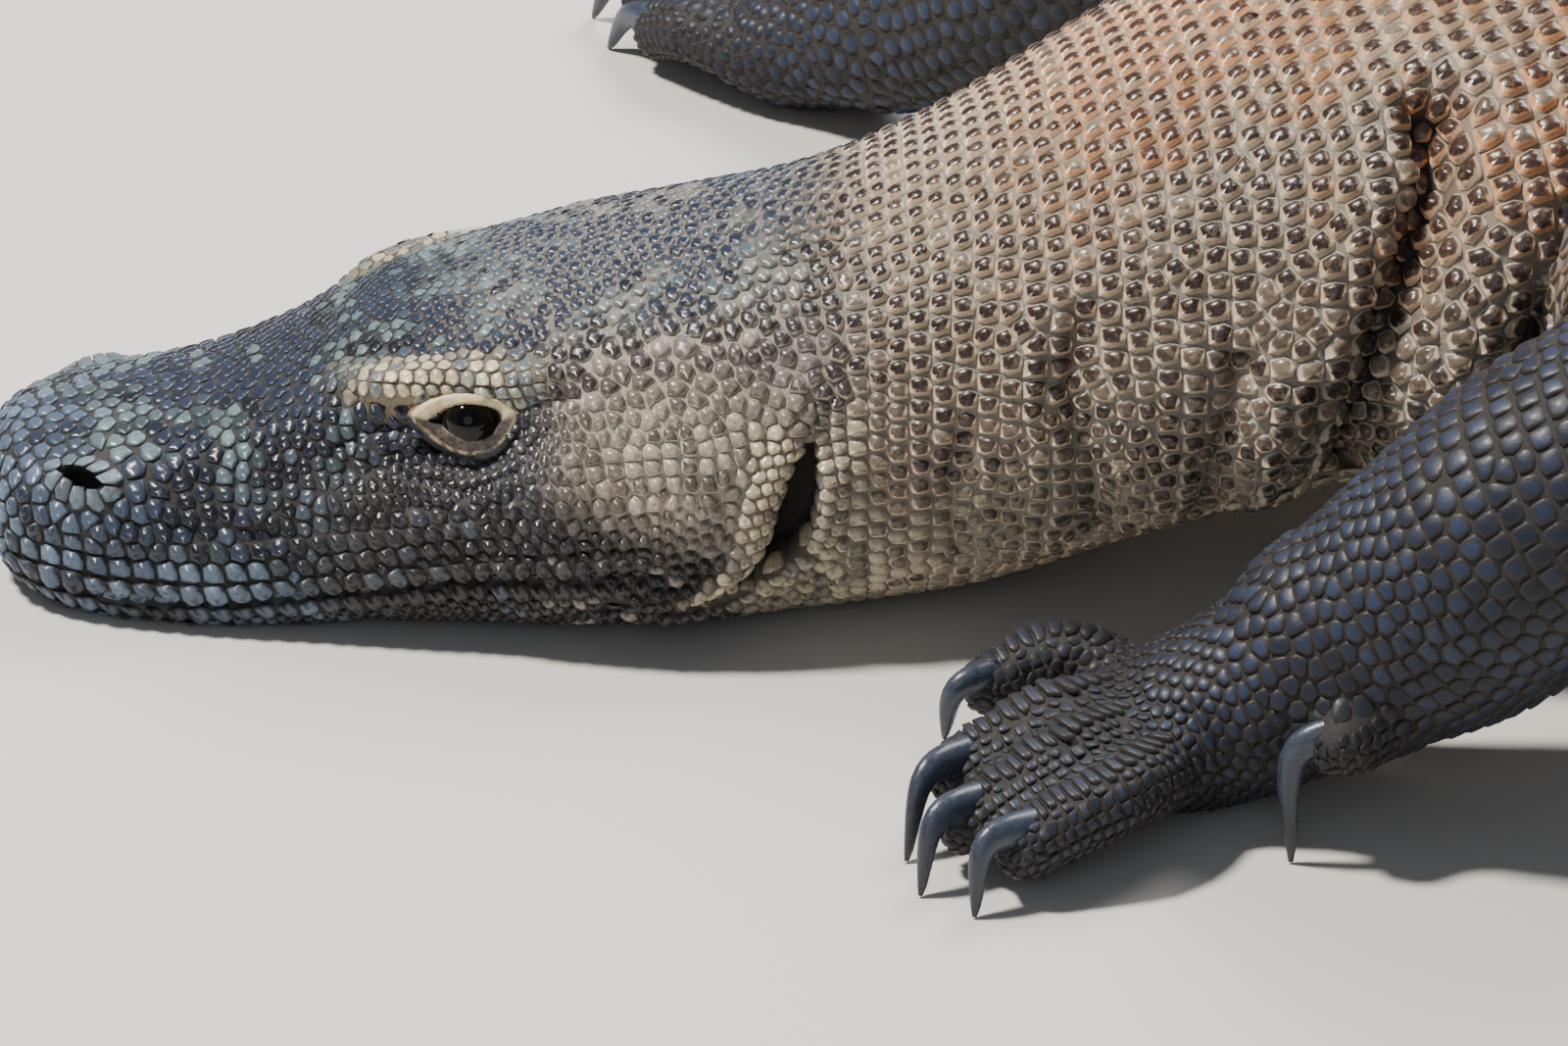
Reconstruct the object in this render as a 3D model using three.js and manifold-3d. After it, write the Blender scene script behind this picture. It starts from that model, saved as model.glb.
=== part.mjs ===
// A life-size Komodo dragon resting on its belly, with its chin on the floor: a still museum model.
// Millimetres, +Z up. The trunk lies along Y with the snout towards -Y, and +X is the animal's left.
// The body is one form along a bent spine, parted by thin cuts into head, jaw, neck, trunk and tail;
// each leg is a bent tube with a flattened foot, five digits and five claws.
import * as THREE from "three";
import { mergeVertices } from "three/addons/utils/BufferGeometryUtils.js";
import Module from "manifold-3d";

const wasm = await Module();
wasm.setup();

// ---------------------------------------------------------------- driving dimensions
const GAP = 0.4; // clear cut between two neighbouring pieces
const BODY_SEGMENTS = 22; // facets round the head, neck and trunk
const TAIL_SEGMENTS = 14;
const LEG_SEGMENTS = 9;
const DIGIT_SEGMENTS = 6;
const CLAW_SEGMENTS = 5;
const CLAW_LIFT = 3; // the claw's root above the middle of the digit
const RAD = Math.PI / 180;

// Sections across the spine. s is the distance behind the snout tip, half the half width, top and low the
// heights of back and belly, wide the height of the widest place, up and down the squareness above and
// below it.
const SECTIONS = [
  { s: 0, half: 8, top: 36, low: 16, wide: 26, up: 2.0, down: 2.0 }, // snout tip
  { s: 3, half: 20, top: 41, low: 7, wide: 25, up: 2.1, down: 2.2 },
  { s: 10, half: 32, top: 46, low: -1, wide: 24, up: 2.2, down: 2.6 },
  { s: 28, half: 42, top: 50, low: -6, wide: 23, up: 2.3, down: 3.4 }, // nostrils
  { s: 58, half: 49, top: 56, low: -7, wide: 23, up: 2.3, down: 3.7 },
  { s: 85, half: 53, top: 68, low: -6, wide: 24, up: 2.2, down: 3.4 },
  { s: 110, half: 57, top: 84, low: -4, wide: 26, up: 2.2, down: 3.0 },
  { s: 135, half: 60, top: 92, low: -4, wide: 30, up: 2.2, down: 3.0 }, // eyes
  { s: 165, half: 65, top: 98, low: -4, wide: 36, up: 2.3, down: 2.9 },
  { s: 195, half: 67, top: 104, low: -4, wide: 40, up: 2.3, down: 2.7 }, // jaw muscle
  { s: 225, half: 64, top: 113, low: -3, wide: 46, up: 2.2, down: 2.5 }, // ears
  { s: 260, half: 66, top: 129, low: 0, wide: 56, up: 2.1, down: 2.3 },
  { s: 305, half: 78, top: 152, low: 16, wide: 72, up: 2.1, down: 2.2 },
  { s: 360, half: 100, top: 174, low: 39, wide: 88, up: 2.1, down: 2.2 },
  { s: 430, half: 130, top: 192, low: 54, wide: 95, up: 2.1, down: 2.3 }, // shoulders
  { s: 540, half: 150, top: 202, low: 14, wide: 85, up: 2.1, down: 2.4 },
  { s: 700, half: 165, top: 203, low: -6, wide: 76, up: 2.1, down: 2.5 },
  { s: 900, half: 182, top: 196, low: -6, wide: 72, up: 2.1, down: 2.6 }, // belly
  { s: 1060, half: 166, top: 186, low: -6, wide: 70, up: 2.1, down: 2.5 },
  { s: 1200, half: 128, top: 172, low: -6, wide: 66, up: 2.1, down: 2.4 }, // hips
  { s: 1330, half: 96, top: 155, low: -5, wide: 62, up: 2.1, down: 2.3 },
  { s: 1440, half: 78, top: 141, low: -4, wide: 57, up: 2.0, down: 2.2 }, // tail root
  { s: 1700, half: 56, top: 114, low: -3, wide: 46, up: 2.0, down: 2.1 },
  { s: 2000, half: 38, top: 83, low: -2, wide: 34, up: 2.0, down: 2.1 },
  { s: 2300, half: 23, top: 54, low: -1, wide: 22, up: 2.0, down: 2.1 },
  { s: 2550, half: 12, top: 30, low: -1, wide: 12, up: 2.0, down: 2.0 },
  { s: 2700, half: 4, top: 10, low: 0, wide: 5, up: 2.0, down: 2.0 }, // tail tip
];
const LENGTH = 2700; // snout to tail tip along the spine

// The bend of the spine in plan: the angle of its rearward line from +Y, positive towards +X.
const BENDS = [
  { s: 0, turn: 20 },
  { s: 220, turn: 20 },
  { s: 320, turn: 10 },
  { s: 440, turn: 0 },
  { s: 800, turn: -3 },
  { s: 1200, turn: 0 },
  { s: 1500, turn: 8 },
  { s: 2000, turn: 24 },
  { s: 2700, turn: 44 },
];

// Swellings and hollows of the head: centre and reach along the spine, centre and reach in degrees
// down from the crown on both sides, and the height of the form.
const RELIEF = [
  { s: 127, along: 24, down: 42, across: 7, rise: 4.5 }, // brow ridge
  { s: 135, along: 13, down: 61, across: 12, rise: -5.0 }, // eye hollow
  { s: 182, along: 24, down: 82, across: 28, rise: 4.0 }, // jaw muscle
  { s: 120, along: 26, down: 0, across: 14, rise: -2.5 }, // furrow between the brows
  { s: 75, along: 20, down: 64, across: 15, rise: -3.0 }, // hollow before the eye
  { s: 70, along: 22, down: 42, across: 9, rise: 1.5 }, // edge from brow to nostril
  { s: 26, along: 12, down: 58, across: 16, rise: 2.5 }, // nostril swelling
];

const EYE = { s: 135, side: 43.2, height: 62.6, radius: 8.5 };
const NOSTRIL = { s: 29, side: 38, height: 41.5, along: 6.5, deep: 6, high: 3.8 };
const EAR = { s: 221.5, side: 66, height: 50, along: 4.5, deep: 12, high: 19, lean: -11 };

// The closed mouth, as heights along the side of the head; its corner is below the rear of the cheek.
const MOUTH = [
  [-52, 9],
  [20, 9],
  [40, 8],
  [63, 9],
  [96, 14.5],
  [140, 22.5],
  [187, 29.5],
];

// Trunk and tail pieces: where each begins and ends along the spine, and its rings.
const BODY_PIECES = [
  { name: "neck", from: 238, to: 360, rings: 5, round: BODY_SEGMENTS },
  { name: "chest", from: 360, to: 600, rings: 7, round: BODY_SEGMENTS },
  { name: "belly", from: 600, to: 960, rings: 7, round: BODY_SEGMENTS },
  { name: "pelvis", from: 960, to: 1240, rings: 6, round: BODY_SEGMENTS },
  { name: "tail_root", from: 1240, to: 1500, rings: 6, round: BODY_SEGMENTS },
  { name: "tail_front", from: 1500, to: 1800, rings: 5, round: TAIL_SEGMENTS },
  { name: "tail_middle", from: 1800, to: 2120, rings: 5, round: TAIL_SEGMENTS },
  { name: "tail_rear", from: 2120, to: 2430, rings: 5, round: TAIL_SEGMENTS },
  { name: "tail_tip", from: 2430, to: LENGTH, rings: 5, round: TAIL_SEGMENTS },
];
const HEAD_END = 238;
const HEAD_RINGS = 18;

// Legs. Each length runs through joints [x, y, z, radius, flatness of the section]; the next length starts
// at the last joint of the one before. Each digit runs from its root in the palm over its knuckle to its tip,
// and its claw goes on over the arch to its point.
const LEGS = {
  fore_left: {
    thick: 13,
    upper: [[190, 425, 100, 52, 1], [252, 405, 116, 48, 1], [299, 374, 114, 44, 1]],
    lower: [[299, 374, 114, 44, 1], [283, 341, 90, 42, 1], [269, 317, 65, 39, 1], [256, 295, 46, 34, 0.95]],
    foot: [
      [256, 295, 46, 34, 0.95], [245, 274, 29, 31, 0.85], [237, 258, 20, 31, 0.74], [232, 243, 14, 26, 0.62],
    ],
    digits: [
      [[208, 256, 16], [193, 242, 20], [190, 223, 14], [194, 211, 17], [190, 209, 0.6]],
      [[221, 252, 17], [233, 222, 25], [234, 196, 15], [242, 184, 21], [249, 176, 0.6]],
      [[234, 252, 17], [253, 220, 25], [258, 190, 14], [263, 179, 20], [267, 173, 0.6]],
      [[248, 256, 17], [272, 226, 23], [275, 199, 14], [278, 187, 19], [282, 182, 0.6]],
      [[258, 300, 32], [282, 291, 37], [288, 281, 35], [283, 270, 33], [283, 269, 0.6]],
    ],
  },
  fore_right: {
    thick: 12,
    upper: [[30, 430, 100, 52, 1], [-36, 418, 110, 46, 1], [-100, 392, 90, 43, 1]],
    lower: [
      [-100, 392, 90, 43, 1], [-134, 368, 66, 39, 1], [-160, 349, 46, 33, 1], [-180, 334, 34, 28, 0.95],
    ],
    foot: [
      [-180, 334, 34, 28, 0.95], [-197, 325, 26, 27, 0.88], [-213, 317, 19, 29, 0.74], [-227, 311, 14, 24, 0.62],
    ],
    digits: [
      [[-208, 299, 17], [-230, 286, 19], [-245, 281, 13], [-258, 276, 14], [-266, 272, 0.6]],
      [[-222, 304, 17], [-250, 291, 20], [-266, 284, 13], [-282, 279, 15], [-290, 275, 0.6]],
      [[-228, 312, 17], [-257, 304, 20], [-274, 300, 13], [-291, 296, 15], [-301, 293, 0.6]],
      [[-224, 322, 17], [-252, 326, 20], [-268, 328, 13], [-285, 328, 14], [-295, 326, 0.6]],
      [[-204, 334, 17], [-212, 354, 18], [-220, 366, 13], [-228, 377, 14], [-234, 383, 0.6]],
    ],
  },
  hind_left: {
    thick: 13,
    upper: [[150, 1126, 92, 66, 1], [262, 1066, 98, 62, 1], [338, 1012, 92, 50, 1]],
    lower: [
      [338, 1012, 92, 50, 1], [366, 1052, 72, 45, 1], [378, 1094, 50, 36, 1], [388, 1128, 34, 28, 0.95],
    ],
    foot: [
      [388, 1128, 34, 28, 0.95], [404, 1112, 23, 28, 0.8], [420, 1088, 17, 30, 0.66], [430, 1070, 14, 24, 0.62],
    ],
    digits: [
      [[412, 1076, 16], [408, 1044, 18], [405, 1027, 13], [401, 1011, 15], [398, 1002, 0.6]],
      [[424, 1068, 17], [428, 1032, 20], [430, 1011, 13], [432, 992, 16], [434, 982, 0.6]],
      [[434, 1066, 17], [450, 1026, 21], [458, 1002, 13], [466, 982, 16], [470, 972, 0.6]],
      [[440, 1074, 17], [470, 1040, 21], [487, 1017, 13], [500, 998, 16], [507, 988, 0.6]],
      [[426, 1100, 17], [456, 1094, 19], [476, 1088, 13], [493, 1082, 15], [503, 1077, 0.6]],
    ],
  },
  hind_right: {
    thick: 13,
    upper: [[0, 1126, 90, 66, 1], [-112, 1090, 94, 60, 1], [-192, 1048, 88, 49, 1]],
    lower: [
      [-192, 1048, 88, 49, 1], [-218, 1092, 70, 43, 1], [-230, 1138, 50, 35, 1], [-240, 1174, 33, 28, 0.95],
    ],
    foot: [
      [-240, 1174, 33, 28, 0.95], [-258, 1164, 23, 28, 0.8], [-278, 1146, 17, 30, 0.66], [-290, 1132, 14, 24, 0.62],
    ],
    digits: [
      [[-272, 1134, 16], [-276, 1102, 18], [-280, 1085, 13], [-282, 1069, 15], [-283, 1060, 0.6]],
      [[-284, 1130, 17], [-300, 1096, 20], [-310, 1077, 13], [-318, 1060, 16], [-322, 1050, 0.6]],
      [[-294, 1130, 17], [-320, 1096, 21], [-336, 1078, 13], [-348, 1062, 16], [-356, 1052, 0.6]],
      [[-298, 1140, 17], [-334, 1116, 21], [-358, 1104, 13], [-376, 1095, 16], [-387, 1088, 0.6]],
      [[-280, 1162, 17], [-308, 1168, 19], [-327, 1170, 13], [-343, 1172, 15], [-352, 1171, 0.6]],
    ],
  },
};

// ---------------------------------------------------------------- finishes
const skin = (colour) => new THREE.MeshStandardMaterial({ color: colour, roughness: 0.75, metalness: 0 });
const HEAD_SKIN = skin(0x4a5158);
const BODY_SKIN = skin(0x8b7a62);
const LEG_SKIN = skin(0x4b4843);
const CLAW_HORN = new THREE.MeshStandardMaterial({ color: 0x232a33, roughness: 0.35, metalness: 0 });
const EYE_GLASS = new THREE.MeshStandardMaterial({ color: 0x0a0b10, roughness: 0.08, metalness: 0 });

// ---------------------------------------------------------------- smooth laws
// A monotone cubic through (xs, ys): it never swings past the values that it joins.
function law(xs, ys) {
  const n = xs.length;
  const step = xs.slice(1).map((x, i) => x - xs[i]);
  const slope = step.map((h, i) => (ys[i + 1] - ys[i]) / h);
  const tangent = xs.map((_, i) => {
    if (i === 0) return slope[0];
    if (i === n - 1) return slope[n - 2];
    if (slope[i - 1] * slope[i] <= 0) return 0;
    const a = 2 * step[i] + step[i - 1];
    const b = step[i] + 2 * step[i - 1];
    return (a + b) / (a / slope[i - 1] + b / slope[i]);
  });
  return (x) => {
    let i = 0;
    while (i < n - 2 && x > xs[i + 1]) i += 1;
    const t = (x - xs[i]) / step[i];
    const t2 = t * t;
    const t3 = t2 * t;
    return (
      (2 * t3 - 3 * t2 + 1) * ys[i] +
      (t3 - 2 * t2 + t) * step[i] * tangent[i] +
      (3 * t2 - 2 * t3) * ys[i + 1] +
      (t3 - t2) * step[i] * tangent[i + 1]
    );
  };
}

const column = (rows, key) => law(rows.map((row) => row.s), rows.map((row) => row[key]));
const section = Object.fromEntries(
  ["half", "top", "low", "wide", "up", "down"].map((key) => [key, column(SECTIONS, key)]),
);
const turn = column(BENDS, "turn");

// The spine in plan, summed in steps of 1 mm.
const SPINE = [[0, 0]];
for (let s = 0; s < LENGTH; s += 1) {
  const angle = turn(s + 0.5) * RAD;
  const [x, y] = SPINE[s];
  SPINE.push([x + Math.sin(angle), y + Math.cos(angle)]);
}
function spine(s) {
  const i = Math.min(Math.floor(s), LENGTH - 1);
  const t = s - i;
  const [a, b] = [SPINE[i], SPINE[i + 1]];
  const angle = turn(s) * RAD;
  const side = [Math.cos(angle), -Math.sin(angle)];
  return { x: a[0] + (b[0] - a[0]) * t, y: a[1] + (b[1] - a[1]) * t, side };
}

// A point given by its distance along the spine, its offset to the left and its height.
function beside(s, side, height) {
  const at = spine(s);
  return new THREE.Vector3(at.x + at.side[0] * side, at.y + at.side[1] * side, height);
}

const bell = (x, centre, reach) => Math.exp(-0.5 * ((x - centre) / reach) ** 2);

// How far the head's forms stand out of the plain section at this place. angle 0 is left, 90 the crown.
function relief(s, angle) {
  const turned = ((angle / RAD + 270) % 360) - 180;
  const fromCrown = Math.abs(turned);
  return RELIEF.reduce(
    (sum, form) => sum + form.rise * bell(s, form.s, form.along) * bell(fromCrown, form.down, form.across),
    0,
  );
}

// A point of the body's outside: superellipse halves above and below the widest place, flat at the floor.
function bodyPoint(s, angle, grow = 0) {
  const c = Math.cos(angle);
  const d = Math.sin(angle);
  const wide = section.wide(s);
  const reach = d >= 0 ? section.top(s) - wide : wide - section.low(s);
  const power = 2 / (d >= 0 ? section.up(s) : section.down(s));
  const out = grow + relief(s, angle);
  const side = section.half(s) * Math.sign(c) * Math.abs(c) ** power + out * c;
  const height = wide + reach * Math.sign(d) * Math.abs(d) ** power + out * d;
  return beside(s, side, Math.max(height, grow > 0 ? -grow : 0));
}

// ---------------------------------------------------------------- solids
// A closed cylinder reshaped: place(share, angle) gives the ring, and the caps shrink to the ring's middle.
function reshaped(rings, round, place) {
  const geometry = new THREE.CylinderGeometry(1, 1, 1, round, rings);
  const position = geometry.getAttribute("position");
  const middles = new Map();
  const middle = (share) => {
    if (!middles.has(share)) {
      const sum = new THREE.Vector3();
      for (let i = 0; i < round; i += 1) sum.add(place(share, (i / round) * 2 * Math.PI));
      middles.set(share, sum.divideScalar(round));
    }
    return middles.get(share);
  };
  for (let i = 0; i < position.count; i += 1) {
    const [x, y, z] = [position.getX(i), position.getY(i), position.getZ(i)];
    const share = Math.round((0.5 - y) * rings) / rings;
    const inner = Math.hypot(x, z) < 0.5;
    const step = Math.round((Math.atan2(z, x) / (2 * Math.PI)) * round);
    const at = inner ? middle(share) : place(share, (((step + round) % round) / round) * 2 * Math.PI);
    position.setXYZ(i, at.x, at.y, at.z);
  }
  return geometry;
}

function solidOf(geometry) {
  const bare = geometry.clone();
  bare.deleteAttribute("normal");
  bare.deleteAttribute("uv");
  const merged = mergeVertices(bare, 1e-3);
  const make = (triVerts) =>
    new wasm.Manifold(
      new wasm.Mesh({ numProp: 3, vertProperties: merged.attributes.position.array, triVerts }),
    );
  const triangles = new Uint32Array(merged.index.array);
  const made = make(triangles);
  if (made.volume() > 0) return made;
  for (let i = 0; i < triangles.length; i += 3) {
    [triangles[i + 1], triangles[i + 2]] = [triangles[i + 2], triangles[i + 1]];
  }
  return make(triangles);
}

// The largest body of a solid, without the slivers that a cut can leave.
function largest(solid) {
  return solid.decompose().reduce((best, body) => (body.volume() > best.volume() ? body : best));
}

function meshOf(name, solid, material) {
  const { numProp, vertProperties, triVerts } = largest(solid).getMesh();
  const places = new Float32Array((vertProperties.length / numProp) * 3);
  for (let i = 0; i < places.length / 3; i += 1) {
    places.set(vertProperties.subarray(i * numProp, i * numProp + 3), i * 3);
  }
  const geometry = new THREE.BufferGeometry()
    .setAttribute("position", new THREE.BufferAttribute(places, 3))
    .setIndex(new THREE.BufferAttribute(triVerts, 1));
  geometry.computeVertexNormals();
  const mesh = new THREE.Mesh(geometry, material);
  mesh.name = name;
  return mesh;
}

// A stretch of the body between two places on the spine. Rings crowd towards the front where crowd is over 1.
function bodyStretch(from, to, rings, round, crowd = 1, grow = 0) {
  const place = (share, angle) => bodyPoint(from + (to - from) * share ** crowd, angle, grow);
  return solidOf(reshaped(rings, round, place));
}

// An ellipsoid at a place beside the spine, turned with the head and leaning forwards at its foot.
function ellipsoid(s, side, height, along, deep, high, lean = 0) {
  const geometry = new THREE.SphereGeometry(1, 11, 7);
  geometry.scale(deep, along, high);
  geometry.rotateX(lean * RAD);
  geometry.rotateZ(-turn(s) * RAD);
  const at = beside(s, side, height);
  geometry.translate(at.x, at.y, at.z);
  return solidOf(geometry);
}

// ---------------------------------------------------------------- head
// The block under the mouth, from ahead of the chin to the mouth's corner, grown on top and rear by offset.
function underMouth(offset) {
  const [front, end] = [MOUTH[0][0], MOUTH[MOUTH.length - 1][0]];
  const edge = MOUTH.map(([s, height]) => new THREE.Vector2(s === end ? s + offset : s, height + offset));
  const floor = [new THREE.Vector2(end + offset, -60), new THREE.Vector2(front, -60)];
  const reach = 150; // well past the head on both sides
  const geometry = new THREE.ExtrudeGeometry(new THREE.Shape([...edge, ...floor]), {
    depth: 2 * reach,
    bevelEnabled: false,
  });
  geometry.translate(0, 0, -reach);
  geometry.rotateX(Math.PI / 2); // the outline's upright to +Z
  geometry.rotateZ(Math.PI / 2 - turn(0) * RAD); // the outline's length to the head's line
  return solidOf(geometry);
}

function makeHead() {
  const whole = bodyStretch(0, HEAD_END - GAP, HEAD_RINGS, BODY_SEGMENTS, 1.5);
  let skull = whole.subtract(underMouth(GAP / 2));
  const jaw = whole.intersect(underMouth(-GAP / 2));
  const eyes = [];
  for (const [label, hand] of [["left", 1], ["right", -1]]) {
    const { s, side, height, radius } = EYE;
    const socket = ellipsoid(s, hand * side, height, radius + GAP, radius + GAP, radius + GAP);
    const nostril = ellipsoid(
      NOSTRIL.s, hand * NOSTRIL.side, NOSTRIL.height, NOSTRIL.along, NOSTRIL.deep, NOSTRIL.high,
    );
    const ear = ellipsoid(EAR.s, hand * EAR.side, EAR.height, EAR.along, EAR.deep, EAR.high, EAR.lean);
    skull = skull.subtract(socket).subtract(nostril).subtract(ear);
    const globe = ellipsoid(s, hand * side, height, radius, radius, radius);
    eyes.push(meshOf(`eye_${label}`, globe, EYE_GLASS));
  }
  return [meshOf("head", skull, HEAD_SKIN), meshOf("lower_jaw", jaw, HEAD_SKIN), ...eyes];
}

// ---------------------------------------------------------------- legs
const vector = (at) => new THREE.Vector3(at[0], at[1], at[2]);

// A tube along a curve: radius(share) and flat(share) size its rings, and it is flat at the floor.
function tube(curve, rings, round, radius, flat) {
  const up = new THREE.Vector3(0, 0, 1);
  return solidOf(
    reshaped(rings, round, (share, angle) => {
      const along = curve.getTangent(share);
      const side = new THREE.Vector3().crossVectors(along, up).normalize();
      const over = new THREE.Vector3().crossVectors(side, along);
      const r = radius(share);
      const at = curve
        .getPoint(share)
        .addScaledVector(side, r * Math.cos(angle))
        .addScaledVector(over, r * flat(share) * Math.sin(angle));
      at.z = Math.max(at.z, 0);
      return at;
    }),
  );
}

// One length of a leg, with a ball at its far joint when that joint bends. grow fattens it to make a cutter.
function legLength(joints, rings, ball, grow) {
  const curve = new THREE.CatmullRomCurve3(joints.map(vector));
  const stations = joints.map((_, i) => i / (joints.length - 1));
  const radius = law(stations, joints.map((joint) => joint[3] + grow));
  const flat = law(stations, joints.map((joint) => joint[4]));
  const flesh = tube(curve, rings, LEG_SEGMENTS, radius, flat);
  if (!ball) return flesh;
  const [x, y, z, r] = joints[joints.length - 1];
  const joint = new THREE.SphereGeometry(r + grow, LEG_SEGMENTS, 5);
  joint.translate(x, y, z);
  return flesh.add(solidOf(joint));
}

// One digit from its root in the palm to its blunt tip.
function makeDigit([root, knuckle, tip], thick, grow) {
  const finger = new THREE.CatmullRomCurve3([root, knuckle, tip].map(vector));
  return tube(finger, 3, DIGIT_SEGMENTS, (share) => thick * (1 - 0.14 * share ** 2) + grow, () => 0.95);
}

// The hooked claw of a digit, rooted in the top of the blunt tip and cut clear of it.
function makeClaw([, knuckle, tip, arch, point]) {
  const start = vector(tip).lerp(vector(knuckle), 0.2);
  start.z += CLAW_LIFT;
  const hook = new THREE.CatmullRomCurve3([start, vector(arch), vector(point)]);
  return tube(hook, 3, CLAW_SEGMENTS, (share) => 4.6 * (1 - share) ** 0.7 + 0.6, () => 1.25);
}

const PART_NAMES = {
  fore: ["upper_arm", "forearm", "hand"],
  hind: ["thigh", "shank", "foot"],
};

function makeLeg(name, { upper, lower, foot, digits, thick }, trunk) {
  const [pair, hand] = name.split("_");
  const top = legLength(upper, 4, true, 0).subtract(trunk);
  const clearTop = legLength(upper, 4, true, GAP);
  const shin = legLength(lower, 4, true, 0).subtract(clearTop).subtract(trunk);
  const clearShin = legLength(lower, 4, true, GAP);
  const makePalm = (grow) =>
    digits.reduce(
      (solid, digit) => solid.add(makeDigit(digit, thick, grow)),
      legLength(foot, 4, false, grow),
    );
  const palm = makePalm(0).subtract(clearShin);
  const clearPalm = makePalm(GAP);
  const claws = digits.map((digit, i) => {
    const horn = makeClaw(digit).subtract(clearPalm).subtract(clearShin);
    return meshOf(`claw_${name}_${i + 1}`, horn, CLAW_HORN);
  });
  const solids = [top, shin, palm];
  const flesh = PART_NAMES[pair].map((part, i) => meshOf(`${part}_${hand}`, solids[i], LEG_SKIN));
  return [...flesh, ...claws];
}

// ---------------------------------------------------------------- the dragon
const dragon = new THREE.Group();
dragon.add(...makeHead());
for (const { name, from, to, rings, round } of BODY_PIECES) {
  dragon.add(meshOf(name, bodyStretch(from, to - (to < LENGTH ? GAP : 0), rings, round), BODY_SKIN));
}
const clearTrunk = BODY_PIECES.slice(0, 5)
  .map(({ from, to, rings, round }) => bodyStretch(from, to, rings, round, 1, GAP))
  .reduce((whole, piece) => whole.add(piece));
for (const [name, leg] of Object.entries(LEGS)) dragon.add(...makeLeg(name, leg, clearTrunk));

// The origin is the middle of the model's base.
const box = new THREE.Box3().setFromObject(dragon);
dragon.position.set(-(box.min.x + box.max.x) / 2, -(box.min.y + box.max.y) / 2, -box.min.z);

export default dragon;
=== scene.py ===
# %% [markdown]
# # A Komodo dragon at rest
# A life-size museum model of a large Komodo dragon that lies on its belly with its chin on the floor. The
# CAD solids give its masses. Here one skin grows over them, and every scale is a small dome of its own. The
# work goes: body form, one skin, eyes and claws, the coat of scales, finishes, then floor, lights and
# camera.

# %% The frame and the CAD box
import math
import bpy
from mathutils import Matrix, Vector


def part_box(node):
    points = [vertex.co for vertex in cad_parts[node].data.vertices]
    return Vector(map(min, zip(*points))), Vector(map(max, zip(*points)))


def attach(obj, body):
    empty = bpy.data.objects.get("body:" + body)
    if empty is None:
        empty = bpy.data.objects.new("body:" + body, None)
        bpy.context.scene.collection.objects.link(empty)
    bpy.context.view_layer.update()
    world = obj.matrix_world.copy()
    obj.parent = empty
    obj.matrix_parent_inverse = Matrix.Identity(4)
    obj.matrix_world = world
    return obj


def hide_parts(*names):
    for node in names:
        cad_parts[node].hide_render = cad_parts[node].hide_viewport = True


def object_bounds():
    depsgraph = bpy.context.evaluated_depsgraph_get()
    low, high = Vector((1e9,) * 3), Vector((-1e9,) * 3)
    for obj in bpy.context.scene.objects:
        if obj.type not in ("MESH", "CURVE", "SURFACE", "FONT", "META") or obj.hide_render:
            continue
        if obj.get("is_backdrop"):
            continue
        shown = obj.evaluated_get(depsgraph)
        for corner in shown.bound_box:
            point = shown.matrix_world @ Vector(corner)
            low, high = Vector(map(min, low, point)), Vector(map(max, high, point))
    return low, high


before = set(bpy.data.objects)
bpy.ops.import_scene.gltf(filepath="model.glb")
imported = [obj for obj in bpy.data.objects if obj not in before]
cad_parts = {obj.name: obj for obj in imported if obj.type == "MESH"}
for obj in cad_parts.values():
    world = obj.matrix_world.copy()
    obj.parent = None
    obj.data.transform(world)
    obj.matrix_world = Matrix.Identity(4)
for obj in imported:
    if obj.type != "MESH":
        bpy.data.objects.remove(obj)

from types import SimpleNamespace

import bmesh
import bpy
import numpy as np
from mathutils import Matrix, Vector
from mathutils.bvhtree import BVHTree
from mathutils.kdtree import KDTree

cad_low, cad_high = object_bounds()
chance = np.random.default_rng(11)
print("CAD box", [round(v, 3) for v in (*cad_low, *cad_high)])

# %% [markdown]
# ## Smooth laws
# A body is easiest to describe by a few measured sections. Between them a monotone cubic carries each
# measure on, because it never swings past the values that it joins, as a plain spline would.

# %% A law through a few values
def law(xs, ys):
    """A smooth curve through the values, which never overshoots them."""
    xs, ys = np.asarray(xs, float), np.asarray(ys, float)
    step = np.diff(xs)
    slope = np.diff(ys) / step
    lean = np.zeros(len(xs))
    lean[0], lean[-1] = slope[0], slope[-1]
    for i in range(1, len(xs) - 1):
        if slope[i - 1] * slope[i] > 0:
            a, b = 2 * step[i] + step[i - 1], step[i] + 2 * step[i - 1]
            lean[i] = (a + b) / (a / slope[i - 1] + b / slope[i])

    def value(x):
        x = np.asarray(x, float)
        i = np.clip(np.searchsorted(xs, x, side="right") - 1, 0, len(xs) - 2)
        t = np.clip((x - xs[i]) / step[i], 0, 1)
        return (
            (2 * t**3 - 3 * t**2 + 1) * ys[i]
            + (t**3 - 2 * t**2 + t) * step[i] * lean[i]
            + (3 * t**2 - 2 * t**3) * ys[i + 1]
            + (t**3 - t**2) * step[i] * lean[i + 1]
        )

    return value


def bell(x, centre, reach):
    return np.exp(-0.5 * ((x - centre) / reach) ** 2)


def ramp(x, low, high):
    """0 below low, 1 above high, with soft ends; low may be the larger."""
    t = np.clip((x - low) / (high - low), 0, 1)
    return t * t * (3 - 2 * t)


print("half way from 0 to 4, through 1 at 1, a law gives", round(float(law([0, 1, 4], [0, 1, 2])(2)), 3))

# %% [markdown]
# ## The body's form
# The animal is measured in millimetres along its spine, from the snout's tip to the tail's tip. Each
# section is two half superellipses, one above and one below its widest height: low exponents are round,
# high ones boxy. The same numbers shape the CAD solids, so the skin and the solids share one form.

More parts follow.
